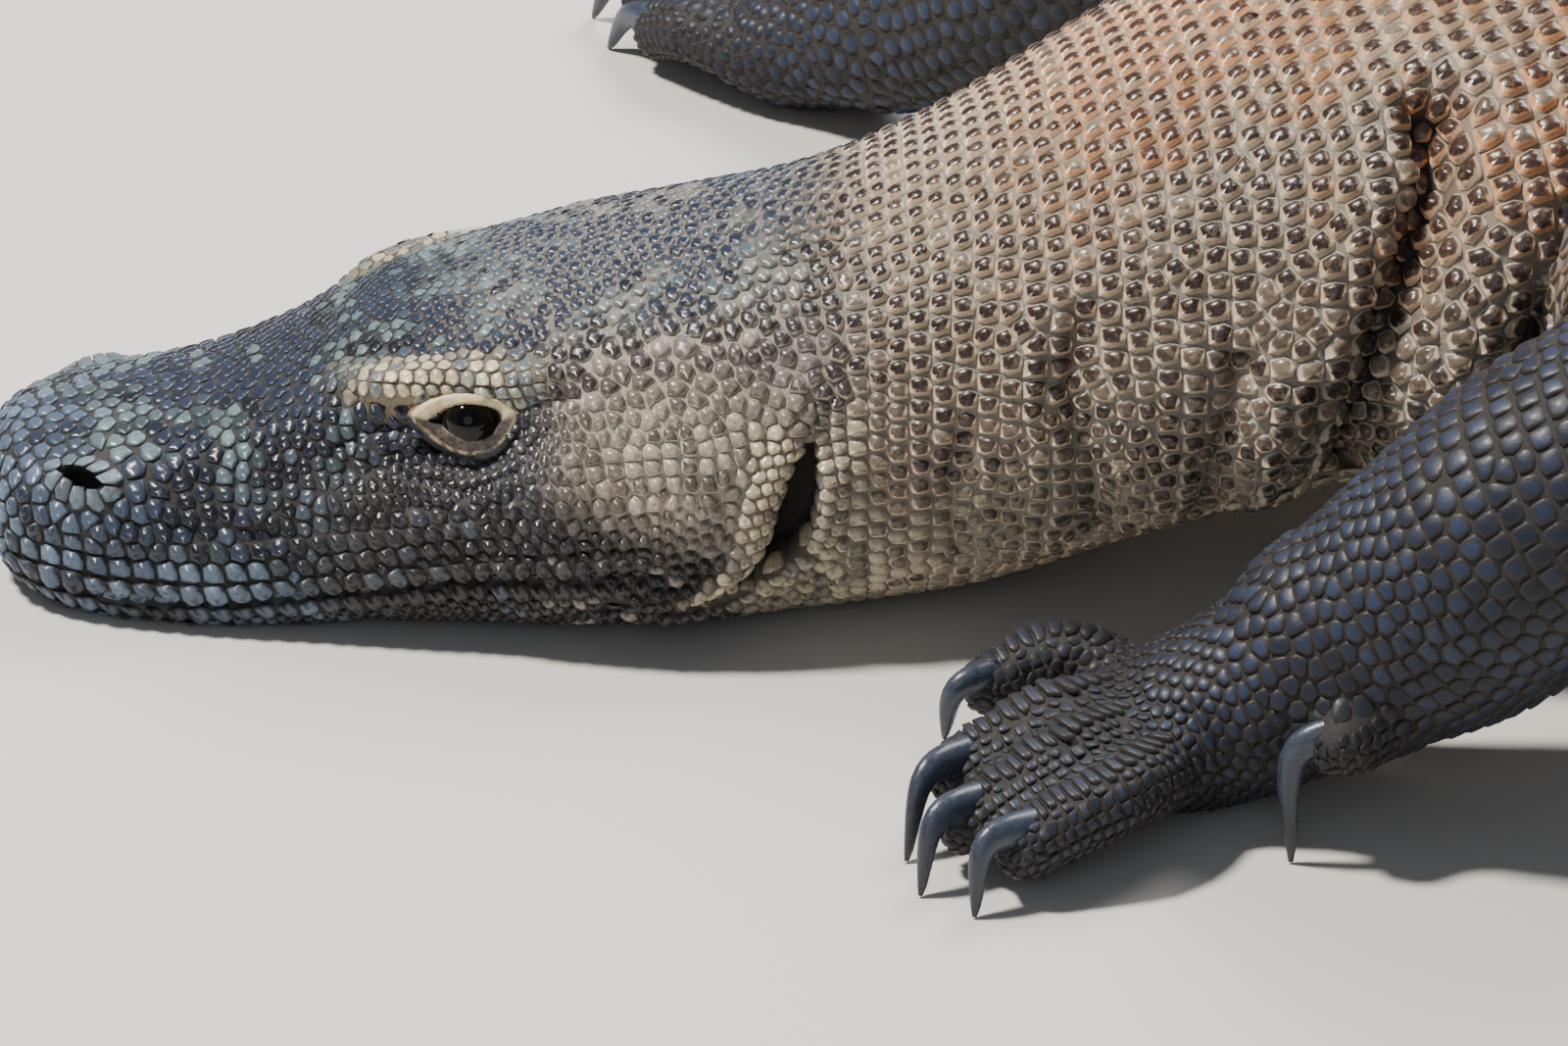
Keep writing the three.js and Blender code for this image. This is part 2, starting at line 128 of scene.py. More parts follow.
# %% Sections of the body
SECTIONS = np.array(
    [  # along, half width, back, belly, widest height, squareness above, squareness below
        (0, 8, 36, 16, 26, 2.0, 2.0),
        (3, 20, 41, 7, 25, 2.1, 2.2),
        (10, 32, 46, -1, 24, 2.2, 2.6),
        (28, 42, 50, -6, 23, 2.3, 3.4),
        (58, 49, 56, -7, 23, 2.3, 3.7),
        (85, 53, 68, -6, 24, 2.2, 3.4),
        (110, 57, 84, -4, 26, 2.2, 3.0),
        (135, 60, 92, -4, 30, 2.2, 3.0),
        (165, 65, 98, -4, 36, 2.3, 2.9),
        (195, 67, 104, -4, 40, 2.3, 2.7),
        (225, 64, 113, -3, 46, 2.2, 2.5),
        (260, 66, 129, 0, 56, 2.1, 2.3),
        (305, 78, 152, 16, 72, 2.1, 2.2),
        (360, 100, 174, 39, 88, 2.1, 2.2),
        (430, 130, 192, 54, 95, 2.1, 2.3),
        (540, 150, 202, 14, 85, 2.1, 2.4),
        (700, 165, 203, -6, 76, 2.1, 2.5),
        (900, 182, 196, -6, 72, 2.1, 2.6),
        (1060, 166, 186, -6, 70, 2.1, 2.5),
        (1200, 128, 172, -6, 66, 2.1, 2.4),
        (1330, 96, 155, -5, 62, 2.1, 2.3),
        (1440, 78, 141, -4, 57, 2.0, 2.2),
        (1700, 56, 114, -3, 46, 2.0, 2.1),
        (2000, 38, 83, -2, 34, 2.0, 2.1),
        (2300, 23, 54, -1, 22, 2.0, 2.1),
        (2550, 12, 30, -1, 12, 2.0, 2.0),
        (2700, 4, 10, 0, 5, 2.0, 2.0),
    ]
)
half, back, belly, widest, square_up, square_down = [
    law(SECTIONS[:, 0], SECTIONS[:, k]) for k in range(1, 7)
]
LENGTH = 2700
COAT = 2.0  # the depth of the scales over the skin
print("widest at the belly, mm", round(float(2 * half(900.0))))

# %% [markdown]
# ## The bend of the spine
# A resting dragon's head turns a little to one side and its tail trails in a slack curve. The spine is
# drawn by its heading, in degrees, at each millimetre; adding up the small steps gives its course on the
# floor.

# %% Course of the spine
turn = law([0, 220, 320, 440, 800, 1200, 1500, 2000, 2700], [20, 20, 10, 0, -3, 0, 8, 24, 44])
marks_along = np.arange(0, LENGTH + 1.0)
lean_there = np.radians(turn(marks_along[:-1] + 0.5))
spine_x = np.concatenate([[0], np.cumsum(np.sin(lean_there))])
spine_y = np.concatenate([[0], np.cumsum(np.cos(lean_there))])


def spine(along):
    return (
        np.interp(along, marks_along, spine_x),
        np.interp(along, marks_along, spine_y),
        np.radians(turn(along)),
    )


print("the spine ends at, mm from the snout", round(float(spine_x[-1])), round(float(spine_y[-1])))

# %% [markdown]
# ## Where the snout lies
# Laws drawn from the snout's tip need one fixed point that they share with the CAD solids. The left eye is
# a ball of known place on the head, so its CAD node tells where the tip of the snout lies in the shared
# frame.

# %% The snout's tip in the frame
EYE_ALONG, EYE_SIDE, EYE_HEIGHT, EYE_RADIUS = 135, 43.2, 62.6, 8.5
x, y, q = spine(EYE_ALONG)
eye_low, eye_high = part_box("eye_left")
eye_place = (eye_low + eye_high) * 500  # the middle of the box, from metres to mm
SNOUT = np.array(
    [eye_place.x - x - math.cos(q) * EYE_SIDE, eye_place.y - y + math.sin(q) * EYE_SIDE, 0.0]
)
print("snout tip in the frame, mm", SNOUT.round(1))

# %% [markdown]
# ## Folds and features of the head and neck
# Skin is never plain: the brow overhangs the eye, a lip line runs back under the cheek, two folds sweep
# from the ear to the jaw's corner, and deep creases part the neck from the shoulder. Each is a ridge or a
# groove along a line drawn on the body, in millimetres along it and degrees down from the crown, on both
# sides.

# %% Lines on the body and how far they stand out
MOUTH = law([-60, 20, 40, 63, 96, 140, 187], [9, 9, 8, 9, 14.5, 22.5, 29.5])
BROW = law([85, 100, 109, 119, 130, 140, 151, 162], [22, 33, 39.5, 42.5, 44.5, 46.5, 47.5, 47])
MOUTH_END = 187
NOSTRIL = (29.5, 53)
EYE = (134.5, 57)
EAR_AT = [60, 73, 79, 85.5, 91, 96.5, 100, 103.5, 106, 112]
EAR_LINE = law(EAR_AT, [227, 226, 224.5, 223.5, 222, 220.3, 218, 214.5, 210.5, 204])
EAR_WIDTH = law(EAR_AT, [0, 0.5, 3.0, 5.1, 6.0, 6.2, 5.8, 4.0, 1.1, 0])
SWELLS = [  # rise in mm, its place along and its reach, its place down from the crown and its reach
    (4.5, 127, 24, 42, 7),  # the bony ledge over the eye
    (-5.0, 135, 13, 61, 12),  # the eye's socket
    (4.0, 182, 24, 82, 28),  # the jaw's muscle
    (-2.5, 120, 26, 0, 14),  # the forehead's hollow
    (-3.0, 75, 20, 64, 15),  # the hollow before the eye
    (1.5, 70, 22, 42, 9),  # the snout's ridge
    (2.5, 26, 12, 58, 16),  # the swelling behind the nostril
]
RIDGES = [  # the line, its rise and its width
    ([(223, 64), (219, 76), (213, 86), (209, 94), (203, 102), (194, 107), (180, 109)], 2.6, 3.4),
    ([(231, 84), (229, 96), (223, 104), (214, 109), (203, 115), (188, 118)], 2.6, 3.6),
    ([(277, 62), (275, 74), (279, 90), (282, 120)], 1.8, 5.5),
    ([(309, 76), (305, 94), (306, 118)], 2.2, 6.0),
    ([(331, 84), (328, 102), (329, 122)], 2.0, 4.5),
    ([(154, 54), (161, 62), (163, 74), (158, 86), (146, 91)], 0.9, 3.2),
    ([(60, 92), (90, 88), (120, 84), (140, 80)], 1.0, 4.0),
    ([(620, 88), (740, 94), (870, 92), (970, 84)], 3.0, 20.0),
]
CREASES = [  # the line, its depth and its width
    ([(372, 42), (370, 53), (361, 70), (356, 80), (352, 92), (350, 112), (352, 135)], 13, 5.5),
    ([(404, 58), (393, 75), (384, 88), (378, 102)], 8, 5.0),
    ([(430, 70), (420, 86), (412, 100)], 5, 5.0),
    ([(212, 105), (207, 107.5), (199, 111.5), (188, 113.5), (172, 113)], 3.6, 2.3),
    ([(290, 64), (287, 76), (291, 92), (294, 121)], 3.4, 3.4),
    ([(324, 80), (320, 98), (320, 122)], 4.2, 3.2),
    ([(343, 88), (338, 104), (338, 124)], 3.6, 3.0),
    ([(263, 82), (259, 96), (262, 118)], 2.4, 3.0),
    ([(121, 61), (128, 67.5), (136, 69.5), (144, 67), (150, 60)], 1.7, 1.3),
    ([(114, 60), (122, 70), (134, 75), (148, 71), (156, 61)], 1.5, 1.3),
    ([(107, 62), (117, 75), (134, 81), (150, 76)], 1.0, 1.3),
    ([(100, 55), (108, 52), (117, 54)], 1.4, 1.5),
    ([(150, 52), (157, 54), (164, 53)], 1.2, 1.6),
    ([(70, 84), (95, 79), (115, 80)], 1.0, 2.4),
    ([(30, 73), (52, 77), (80, 82)], 1.0, 2.0),
    ([(500, 62), (520, 76), (530, 92), (532, 112)], 6, 11.0),
    ([(560, 84), (576, 98), (584, 116)], 5, 11.0),
    ([(640, 100), (760, 108), (880, 106), (980, 96)], 6, 13.0),
    ([(1000, 60), (1020, 76), (1030, 96)], 6, 11.0),
    ([(1240, 70), (1262, 88), (1270, 108)], 5, 11.0),
]


def girth_step(along):
    """Millimetres of skin per degree round the body."""
    return (half(along) * 1.9 + (back(along) - belly(along)) * 1.05) / 180 * 0.83


def off_line(along, down, line):
    """Distance in mm from a line on the body."""
    step = girth_step(float(np.mean([a for a, _ in line])))
    here = np.stack([along, np.abs(down) * step], -1)
    best = np.full(len(here), 1e9)
    for (a0, d0), (a1, d1) in zip(line, line[1:]):
        p, r = np.array([a0, d0 * step]), np.array([a1, d1 * step])
        run = r - p
        t = np.clip(((here - p) @ run) / (run @ run), 0, 1)
        away = here - (p + t[:, None] * run)
        best = np.minimum(best, np.hypot(away[:, 0], away[:, 1]))
    return best


print(len(RIDGES), "ridges,", len(CREASES), "creases")

# %% [markdown]
# ## From lines to a raised skin
# Broad swells such as the brow, the jowl and the hollow before the eye are soft bells. On them the lines
# above stand up as ridges or sink in as creases. A crease has a low lip on both sides, as pressed skin has.

# %% The rise of the skin
def features(along, down, height):
    """Rise of the skin in mm at places on the body."""
    around = np.abs(down)
    out = np.zeros(np.shape(along))
    for up, a, reach, d, turn_reach in SWELLS:
        out += up * bell(along, a, reach) * bell(around, d, turn_reach)
    head = along < 1330  # the tail and the hip's rear have no folds
    a, d, z = along[head], around[head], height[head]
    step = girth_step(a)
    rise = np.zeros(len(a))
    on_brow = ramp(a, 92, 106) * ramp(a, 164, 152)
    rise += on_brow * (2.6 * bell(d, BROW(a), 3.6) - 1.2 * bell(d, BROW(a) - 9, 4.0))
    rise -= on_brow * 2.6 * ramp(d, BROW(a) + 3.2, BROW(a) + 6.6) * ramp(d, 74, 62)
    mouth = ramp(a, MOUTH_END + 4, MOUTH_END - 8) * (a > 1)
    gap = z - MOUTH(a)
    rise += mouth * (-2.4 * bell(gap, 0, 1.1) + 1.0 * bell(gap, 4.5, 2.6) + 0.5 * bell(gap, -4.5, 2.5))
    rise -= mouth * 0.9 * (bell(gap, 8.0, 0.9) + bell(gap, 13.6, 0.9) * ramp(a, 150, 110))
    for line, up, wide in RIDGES:
        rise += up * bell(off_line(a, d, line), 0, wide)
    for line, deep, wide in CREASES:
        off = off_line(a, d, line)
        rise += 0.22 * deep * bell(off, wide * 2.4, wide * 1.2) - deep * np.exp(-((off / wide) ** 1.5))
    from_eye = np.hypot((a - EYE[0]) / 11.5, (d - EYE[1] - 0.6) * step / 7.6)
    rise += -5.0 * ramp(from_eye, 1.12, 0.86)
    nose = (a - NOSTRIL[0]) * 0.35
    from_nostril = np.hypot((a - NOSTRIL[0]) / 5.6, (d - NOSTRIL[1] - nose) * step / 4.1)
    rise += -7.5 * ramp(from_nostril, 1.05, 0.55) + 1.5 * bell(from_nostril, 1.45, 0.28)
    in_ear = np.abs(a - EAR_LINE(d)) / np.maximum(EAR_WIDTH(d), 0.05)
    rise += -13 * ramp(in_ear, 1.18, 0.80) * ramp(EAR_WIDTH(d), 0.2, 1.5)
    out[head] += rise
    return out


front_folds = features(np.array([355.0]), np.array([80.0]), np.array([100.0]))
print("the deepest fold before the shoulder sinks, mm", round(-float(front_folds[0]), 1))

# %% [markdown]
# ## Points on the body, and back
# Two functions do the rest. One gives the place of a point that is so far along the body and so many
# degrees down from its crown. The other asks where on the body a given point lies.

# %% Body surface and its inverse
FLOOR_LIFT = 1.6  # the skin's underside stays this far over the floor, so that its scales fit below it


def body_surface(along, down, lift=-COAT, folds=True):
    """Points of the body in mm: along it, and in degrees down from the crown, positive to the left."""
    along, down = np.broadcast_arrays(np.asarray(along, float), np.asarray(down, float))
    angle = np.radians(down)
    c, d = np.sin(angle), np.cos(angle)
    wide = widest(along)
    reach = np.where(d >= 0, back(along) - wide, wide - belly(along))
    power = 2 / np.where(d >= 0, square_up(along), square_down(along))
    plain = wide + reach * np.sign(d) * np.abs(d) ** power
    out = lift + (features(along, down, plain) if folds else 0)
    side = half(along) * np.sign(c) * np.abs(c) ** power + out * c
    height = plain + out * d
    x, y, q = spine(along)
    height = np.maximum(height, FLOOR_LIFT + 0.2 * lift)
    return np.stack([x + np.cos(q) * side, y - np.sin(q) * side, height], -1) + SNOUT


def body_place(points):
    """The inverse: where on the body each point lies, in mm along and degrees down from the crown."""
    flat = points[:, :2] - SNOUT[:2]
    along = np.zeros(len(flat))
    coarse = marks_along[::20].astype(int)
    for start in range(0, len(flat), 20000):
        block = flat[start : start + 20000]
        far = (block[:, None, 0] - spine_x[coarse]) ** 2 + (block[:, None, 1] - spine_y[coarse]) ** 2
        along[start : start + 20000] = coarse[np.argmin(far, 1)]
    for _ in range(4):
        x, y, q = spine(along)
        along = np.clip(along + (flat[:, 0] - x) * np.sin(q) + (flat[:, 1] - y) * np.cos(q), 0, LENGTH)
    x, y, q = spine(along)
    side = (flat[:, 0] - x) * np.cos(q) - (flat[:, 1] - y) * np.sin(q)
    rise = points[:, 2] - widest(along)
    reach = np.where(rise >= 0, back(along) - widest(along), widest(along) - belly(along))
    power = np.where(rise >= 0, square_up(along), square_down(along)) / 2
    c = (np.abs(side) / half(along)) ** power
    d = (np.abs(rise) / np.maximum(reach, 1)) ** power
    return along, np.degrees(np.arctan2(c * np.sign(side), d * np.sign(rise)))


back_again = body_place(body_surface(np.array([300.0, 900.0]), np.array([40.0, -70.0]), folds=False))
print("there and back, along", back_again[0].round(1), "and down", back_again[1].round(1))

# %% [markdown]
# ## Legs
# Each leg is three lengths, with a ball where one bends into the next, and five digits. The lengths are
# tubes along a centripetal Catmull-Rom curve, which passes through every joint without looping at close
# ones.

# %% Joints of the legs
LEGS = {  # joint: x, y, z, radius, flatness; digit: root, knuckle, tip, arch and point of its claw
    "fore_left": dict(
        thick=13,
        joints=[
            (190, 425, 100, 52, 1), (252, 405, 116, 48, 1), (299, 374, 114, 44, 1), (283, 341, 90, 42, 1),
            (269, 317, 65, 39, 1), (256, 295, 46, 34, 0.95), (245, 274, 29, 31, 0.85),
            (237, 258, 20, 31, 0.74), (232, 243, 14, 26, 0.62),
        ],
        digits=[
            [(208, 256, 16), (193, 242, 20), (190, 223, 14), (194, 211, 17), (190, 209, 0.6)],
            [(221, 252, 17), (233, 222, 25), (234, 196, 15), (242, 184, 21), (249, 176, 0.6)],
            [(234, 252, 17), (253, 220, 25), (258, 190, 14), (263, 179, 20), (267, 173, 0.6)],
            [(248, 256, 17), (272, 226, 23), (275, 199, 14), (278, 187, 19), (282, 182, 0.6)],
            [(258, 300, 32), (282, 291, 37), (288, 281, 35), (283, 270, 33), (283, 269, 0.6)],
        ],
    ),
    "fore_right": dict(
        thick=12,
        joints=[
            (30, 430, 100, 52, 1), (-36, 418, 110, 46, 1), (-100, 392, 90, 43, 1), (-134, 368, 66, 39, 1),
            (-160, 349, 46, 33, 1), (-180, 334, 34, 28, 0.95), (-197, 325, 26, 27, 0.88),
            (-213, 317, 19, 29, 0.74), (-227, 311, 14, 24, 0.62),
        ],
        digits=[
            [(-208, 299, 17), (-230, 286, 19), (-245, 281, 13), (-258, 276, 14), (-266, 272, 0.6)],
            [(-222, 304, 17), (-250, 291, 20), (-266, 284, 13), (-282, 279, 15), (-290, 275, 0.6)],
            [(-228, 312, 17), (-257, 304, 20), (-274, 300, 13), (-291, 296, 15), (-301, 293, 0.6)],
            [(-224, 322, 17), (-252, 326, 20), (-268, 328, 13), (-285, 328, 14), (-295, 326, 0.6)],
            [(-204, 334, 17), (-212, 354, 18), (-220, 366, 13), (-228, 377, 14), (-234, 383, 0.6)],
        ],
    ),
    "hind_left": dict(
        thick=13,
        joints=[
            (150, 1126, 92, 66, 1), (262, 1066, 98, 62, 1), (338, 1012, 92, 50, 1), (366, 1052, 72, 45, 1),
            (378, 1094, 50, 36, 1), (388, 1128, 34, 28, 0.95), (404, 1112, 23, 28, 0.8),
            (420, 1088, 17, 30, 0.66), (430, 1070, 14, 24, 0.62),
        ],
        digits=[
            [(412, 1076, 16), (408, 1044, 18), (405, 1027, 13), (401, 1011, 15), (398, 1002, 0.6)],
            [(424, 1068, 17), (428, 1032, 20), (430, 1011, 13), (432, 992, 16), (434, 982, 0.6)],
            [(434, 1066, 17), (450, 1026, 21), (458, 1002, 13), (466, 982, 16), (470, 972, 0.6)],
            [(440, 1074, 17), (470, 1040, 21), (487, 1017, 13), (500, 998, 16), (507, 988, 0.6)],
            [(426, 1100, 17), (456, 1094, 19), (476, 1088, 13), (493, 1082, 15), (503, 1077, 0.6)],
        ],
    ),
    "hind_right": dict(
        thick=13,
        joints=[
            (0, 1126, 90, 66, 1), (-112, 1090, 94, 60, 1), (-192, 1048, 88, 49, 1), (-218, 1092, 70, 43, 1),
            (-230, 1138, 50, 35, 1), (-240, 1174, 33, 28, 0.95), (-258, 1164, 23, 28, 0.8),
            (-278, 1146, 17, 30, 0.66), (-290, 1132, 14, 24, 0.62),
        ],
        digits=[
            [(-272, 1134, 16), (-276, 1102, 18), (-280, 1085, 13), (-282, 1069, 15), (-283, 1060, 0.6)],
            [(-284, 1130, 17), (-300, 1096, 20), (-310, 1077, 13), (-318, 1060, 16), (-322, 1050, 0.6)],
            [(-294, 1130, 17), (-320, 1096, 21), (-336, 1078, 13), (-348, 1062, 16), (-356, 1052, 0.6)],
            [(-298, 1140, 17), (-334, 1116, 21), (-358, 1104, 13), (-376, 1095, 16), (-387, 1088, 0.6)],
            [(-280, 1162, 17), (-308, 1168, 19), (-327, 1170, 13), (-343, 1172, 15), (-352, 1171, 0.6)],
        ],
    ),
}
LIMB_LENGTHS = {"upper": (0, 3), "lower": (2, 6), "foot": (5, 9)}  # first joint and the one past the last
print(sum(len(leg["digits"]) for leg in LEGS.values()), "digits on", len(LEGS), "legs")

# %% [markdown]
# ## A limb as a tube of laws
# A curve runs through the joints, and a law tells how thick and how flat the limb is along it. From that,
# any point on its surface can be asked for by its share of the length and its turn round it.

# %% Tubes along the joints
def curve_through(points):
    """A centripetal Catmull-Rom curve: a function of the share 0 to 1 of its spans."""
    p = np.array([q[:3] for q in points], float)
    p = np.vstack([2 * p[0] - p[1], p, 2 * p[-1] - p[-2]])
    knots = np.concatenate([[0], np.cumsum(np.linalg.norm(np.diff(p, axis=0), axis=1) ** 0.5)])

    def at(share):
        share = np.atleast_1d(np.asarray(share, float)) * (len(p) - 3)
        i = np.clip(np.floor(share).astype(int), 0, len(p) - 4) + 1
        t = (knots[i] + (share - i + 1) * (knots[i + 1] - knots[i]))[:, None]
        k = [knots[i + j][:, None] for j in (-1, 0, 1, 2)]
        a = [((k[j + 1] - t) * p[i + j - 1] + (t - k[j]) * p[i + j]) / (k[j + 1] - k[j]) for j in range(3)]
        b = [((k[j + 2] - t) * a[j] + (t - k[j]) * a[j + 1]) / (k[j + 2] - k[j]) for j in range(2)]
        return ((k[2] - t) * b[0] + (t - k[1]) * b[1]) / (k[2] - k[1])

    return at


def make_tube(joints, radii, flats, name):
    """A limb length as laws: where its middle runs, how thick and how flat it is."""
    stations = np.linspace(0, 1, len(radii))
    return dict(at=curve_through(joints), thick=law(stations, radii), flat=law(stations, flats), name=name)


def tube_surface(tube, share, angle, lift=-COAT):
    """Points of a limb in mm, at shares of its length and degrees round it, 90 on top."""
    share, angle = np.broadcast_arrays(np.asarray(share, float).ravel(), np.asarray(angle, float).ravel())
    middle = tube["at"](share)
    ahead = tube["at"](np.minimum(share + 0.01, 1)) - tube["at"](np.maximum(share - 0.01, 0))
    ahead /= np.linalg.norm(ahead, axis=1)[:, None]
    across = np.cross(ahead, [0, 0, 1.0])
    across /= np.linalg.norm(across, axis=1)[:, None]
    over = np.cross(across, ahead)
    thick = (tube["thick"](share) + lift)[:, None]
    a = np.radians(angle)[:, None]
    place = middle + across * thick * np.cos(a) + over * thick * tube["flat"](share)[:, None] * np.sin(a)
    place[:, 2] = np.maximum(place[:, 2], FLOOR_LIFT + 0.2 * lift)
    return place + SNOUT, ahead


TUBES, BALLS = [], []
for leg, parts in LEGS.items():
    for length, (first_joint, end_joint) in LIMB_LENGTHS.items():
        joints = parts["joints"][first_joint:end_joint]
        tube = make_tube(joints, [j[3] for j in joints], [j[4] for j in joints], f"{leg}_{length}")
        TUBES.append(tube)
        if length != "foot":
            BALLS.append((np.array(joints[-1][:3]) + SNOUT, joints[-1][3]))
    for number, digit in enumerate(parts["digits"]):
        thick = parts["thick"] * np.array([1, 0.965, 0.86])
        TUBES.append(make_tube(digit[:3], thick, [0.95] * 3, f"{leg}_digit_{number + 1}"))
print(len(TUBES), "lengths of leg and digit")

# %% [markdown]
# ## One skin
# The trunk, legs and digits start as separate closed lofts: a ring of vertices is extruded and moved on,
# again and again, then the ends are filled. Balls close the gaps where a limb bends and round off the
# digits' tips. Skin could also be sculpted by hand, but lofts keep it true to the same laws as the solids
# beneath.

# %% A loft, and a mesh kept as an object
def loft(shape, rings, closed=True):
    """Extrudes a ring of vertices through the given rings of points; returns the loops of vertices."""
    loop = list(bmesh.ops.create_circle(shape, segments=len(rings[0]), radius=1)["verts"])
    for vert, place in zip(loop, rings[0]):
        vert.co = place
    loops = [loop]
    start = edges = list(dict.fromkeys(e for v in loop for e in v.link_edges))
    for ring in rings[1:]:
        grown = bmesh.ops.extrude_edge_only(shape, edges=edges)["geom"]
        fresh = {g for g in grown if isinstance(g, bmesh.types.BMVert)}
        edges = [g for g in grown if isinstance(g, bmesh.types.BMEdge)]
        loop = [next(e.other_vert(v) for e in v.link_edges if e.other_vert(v) in fresh) for v in loop]
        for vert, place in zip(loop, ring):
            vert.co = place
        loops.append(loop)
    if closed:
        bmesh.ops.edgeloop_fill(shape, edges=start)
        bmesh.ops.edgeloop_fill(shape, edges=[e for e in edges if e.is_boundary])
    return loops


def put_in_scene(name, data):
    piece = bpy.data.objects.new(name, data)
    bpy.context.scene.collection.objects.link(piece)
    return piece


def mesh_object(name, shape):
    mesh = bpy.data.meshes.new(name)
    shape.to_mesh(mesh)
    shape.free()
    return put_in_scene(name, mesh)


print("a loft of closed rings is ready for the body, limbs, lids and claws")

# %% [markdown]
# ## Body, limbs and digits in the rough
# Here the lofts are only put together: they pass through each other freely, because the next step melts
# them. The body's rings lie closer on the head and neck, where its form changes fastest.

# %% Rough lofts
rough = bmesh.new()
stops = np.concatenate([np.linspace(0.6, 30, 14), np.linspace(34, 480, 80), np.linspace(492, 2696, 140)])
round_body = np.linspace(-180, 180, 90, endpoint=False)
loft(rough, [body_surface(s, round_body, lift=max(-COAT, 3.2 - half(s)), folds=False) / 1000 for s in stops])
for tube in TUBES:
    sides, steps = (14, 12) if "digit" in tube["name"] else (32, 22)
    turns = np.linspace(0, 360, sides, endpoint=False)
    rings = [tube_surface(tube, np.full(sides, t), turns)[0] / 1000 for t in np.linspace(0, 1, steps)]
    loft(rough, rings)
balls = [(middle, radius, 28, 18) for middle, radius in BALLS]
for tube in TUBES:
    if "digit" in tube["name"]:
        balls.append((tube["at"](1.0)[0] + SNOUT, float(tube["thick"](1.0)), 12, 8))
for middle, radius, turns, heights in balls:
    place, size = Matrix.Translation(Vector(middle / 1000)), (radius - COAT) / 1000
    bmesh.ops.create_uvsphere(rough, u_segments=turns, v_segments=heights, radius=size, matrix=place)
bmesh.ops.recalc_face_normals(rough, faces=rough.faces)
print(len(rough.verts), "vertices in the rough, with", len(balls), "balls")

# %% [markdown]
# ## Melted into one skin
# A voxel remesh fills the rough shapes with small cubes and skins them anew, as a sculptor blends clay
# limbs into a body. The cubes have to be small for the digits. Behind the shoulder that is finer than
# needed, so a Decimate modifier that works only there, by a vertex group, takes about half of the faces
# away again.

# %% Melt and thin
def applied(piece):
    """Applies a piece's modifiers and returns its new mesh."""
    mesh = bpy.data.meshes.new_from_object(piece.evaluated_get(bpy.context.evaluated_depsgraph_get()))
    piece.modifiers.clear()
    piece.data = mesh
    return mesh


skin = mesh_object("dragon_skin", rough)
melt = skin.modifiers.new("melt", "REMESH")
melt.mode = "VOXEL"
melt.voxel_size = 0.0043
melted = applied(skin)
trunk = skin.vertex_groups.new(name="trunk")
far_back = [v.index for v in melted.vertices if v.co.y * 1000 > SNOUT[1] + 480]
trunk.add(far_back, 1.0, "REPLACE")
thin = skin.modifiers.new("thin", "DECIMATE")
thin.vertex_group = "trunk"
thin.ratio = 0.52
thinned = applied(skin)
print("melted skin:", len(melted.vertices), "vertices, thinned to", len(thinned.vertices))

# %% [markdown]
# ## All vertices at once
# Blender can hand over a mesh's vertices as one long array and take them back. Smoothing tens of thousands
# of them is then a few sums instead of a slow loop. A plain smoothing shrinks what it smooths, so these
# take turns: one step inward, and one a little longer outward.

# %% Tools that work on all of the skin's vertices at once
def mesh_points(mesh):
    flat = np.empty(len(mesh.vertices) * 3, np.float32)
    mesh.vertices.foreach_get("co", flat)
    return flat.reshape(-1, 3).astype(float) * 1000


def set_points(mesh, points):
    mesh.vertices.foreach_set("co", (points / 1000).astype(np.float32).ravel())
    mesh.update()


def mesh_edges(mesh):
    flat = np.empty(len(mesh.edges) * 2, np.int32)
    mesh.edges.foreach_get("vertices", flat)
    return flat.reshape(-1, 2)


def neighbour_mean(values, edges):
    """For every vertex, the mean of its neighbours' values."""
    total = np.zeros_like(values)
    count = np.bincount(edges.ravel(), minlength=len(values)).astype(float)
    for k in range(values.shape[1]):
        total[:, k] = np.bincount(edges[:, 0], values[edges[:, 1], k], len(values))
        total[:, k] += np.bincount(edges[:, 1], values[edges[:, 0], k], len(values))
    return total / np.maximum(count, 1)[:, None]


def smoothed(points, edges, rounds, share=1.0):
    """Smooths by turns inward and outward, which takes off steps but keeps the girth."""
    for _ in range(rounds):
        for factor in (0.5, -0.52):
            points = points + factor * share * (neighbour_mean(points, edges) - points)
    return points


def fit_to_body(points, folds):
    """Moves what lies on the body's form exactly onto it, and leaves the legs and blends where they are."""
    along, down = body_place(points)
    plain = body_surface(along, down, folds=False)
    exact = body_surface(along, down, folds=folds)
    away = np.linalg.norm(points - plain, axis=1)
    onto_form, by_folds = ramp(away, 4.5, 1.8)[:, None], ramp(away, 14, 3)[:, None]
    return points + (plain - points) * onto_form + (exact - plain) * by_folds


print("the skin has", len(mesh_edges(skin.data)), "edges to smooth along")

# %% [markdown]
# ## Smooth, then true to the body
# The remesh leaves steps, which the smoothing takes off. Away from the legs, the skin is then set back onto
# the exact body form, whose laws are known everywhere. Where a leg meets the trunk it stays a soft blend.
# The remesh also eats the thin end of the tail, so the last stretch is drawn out to its full length.

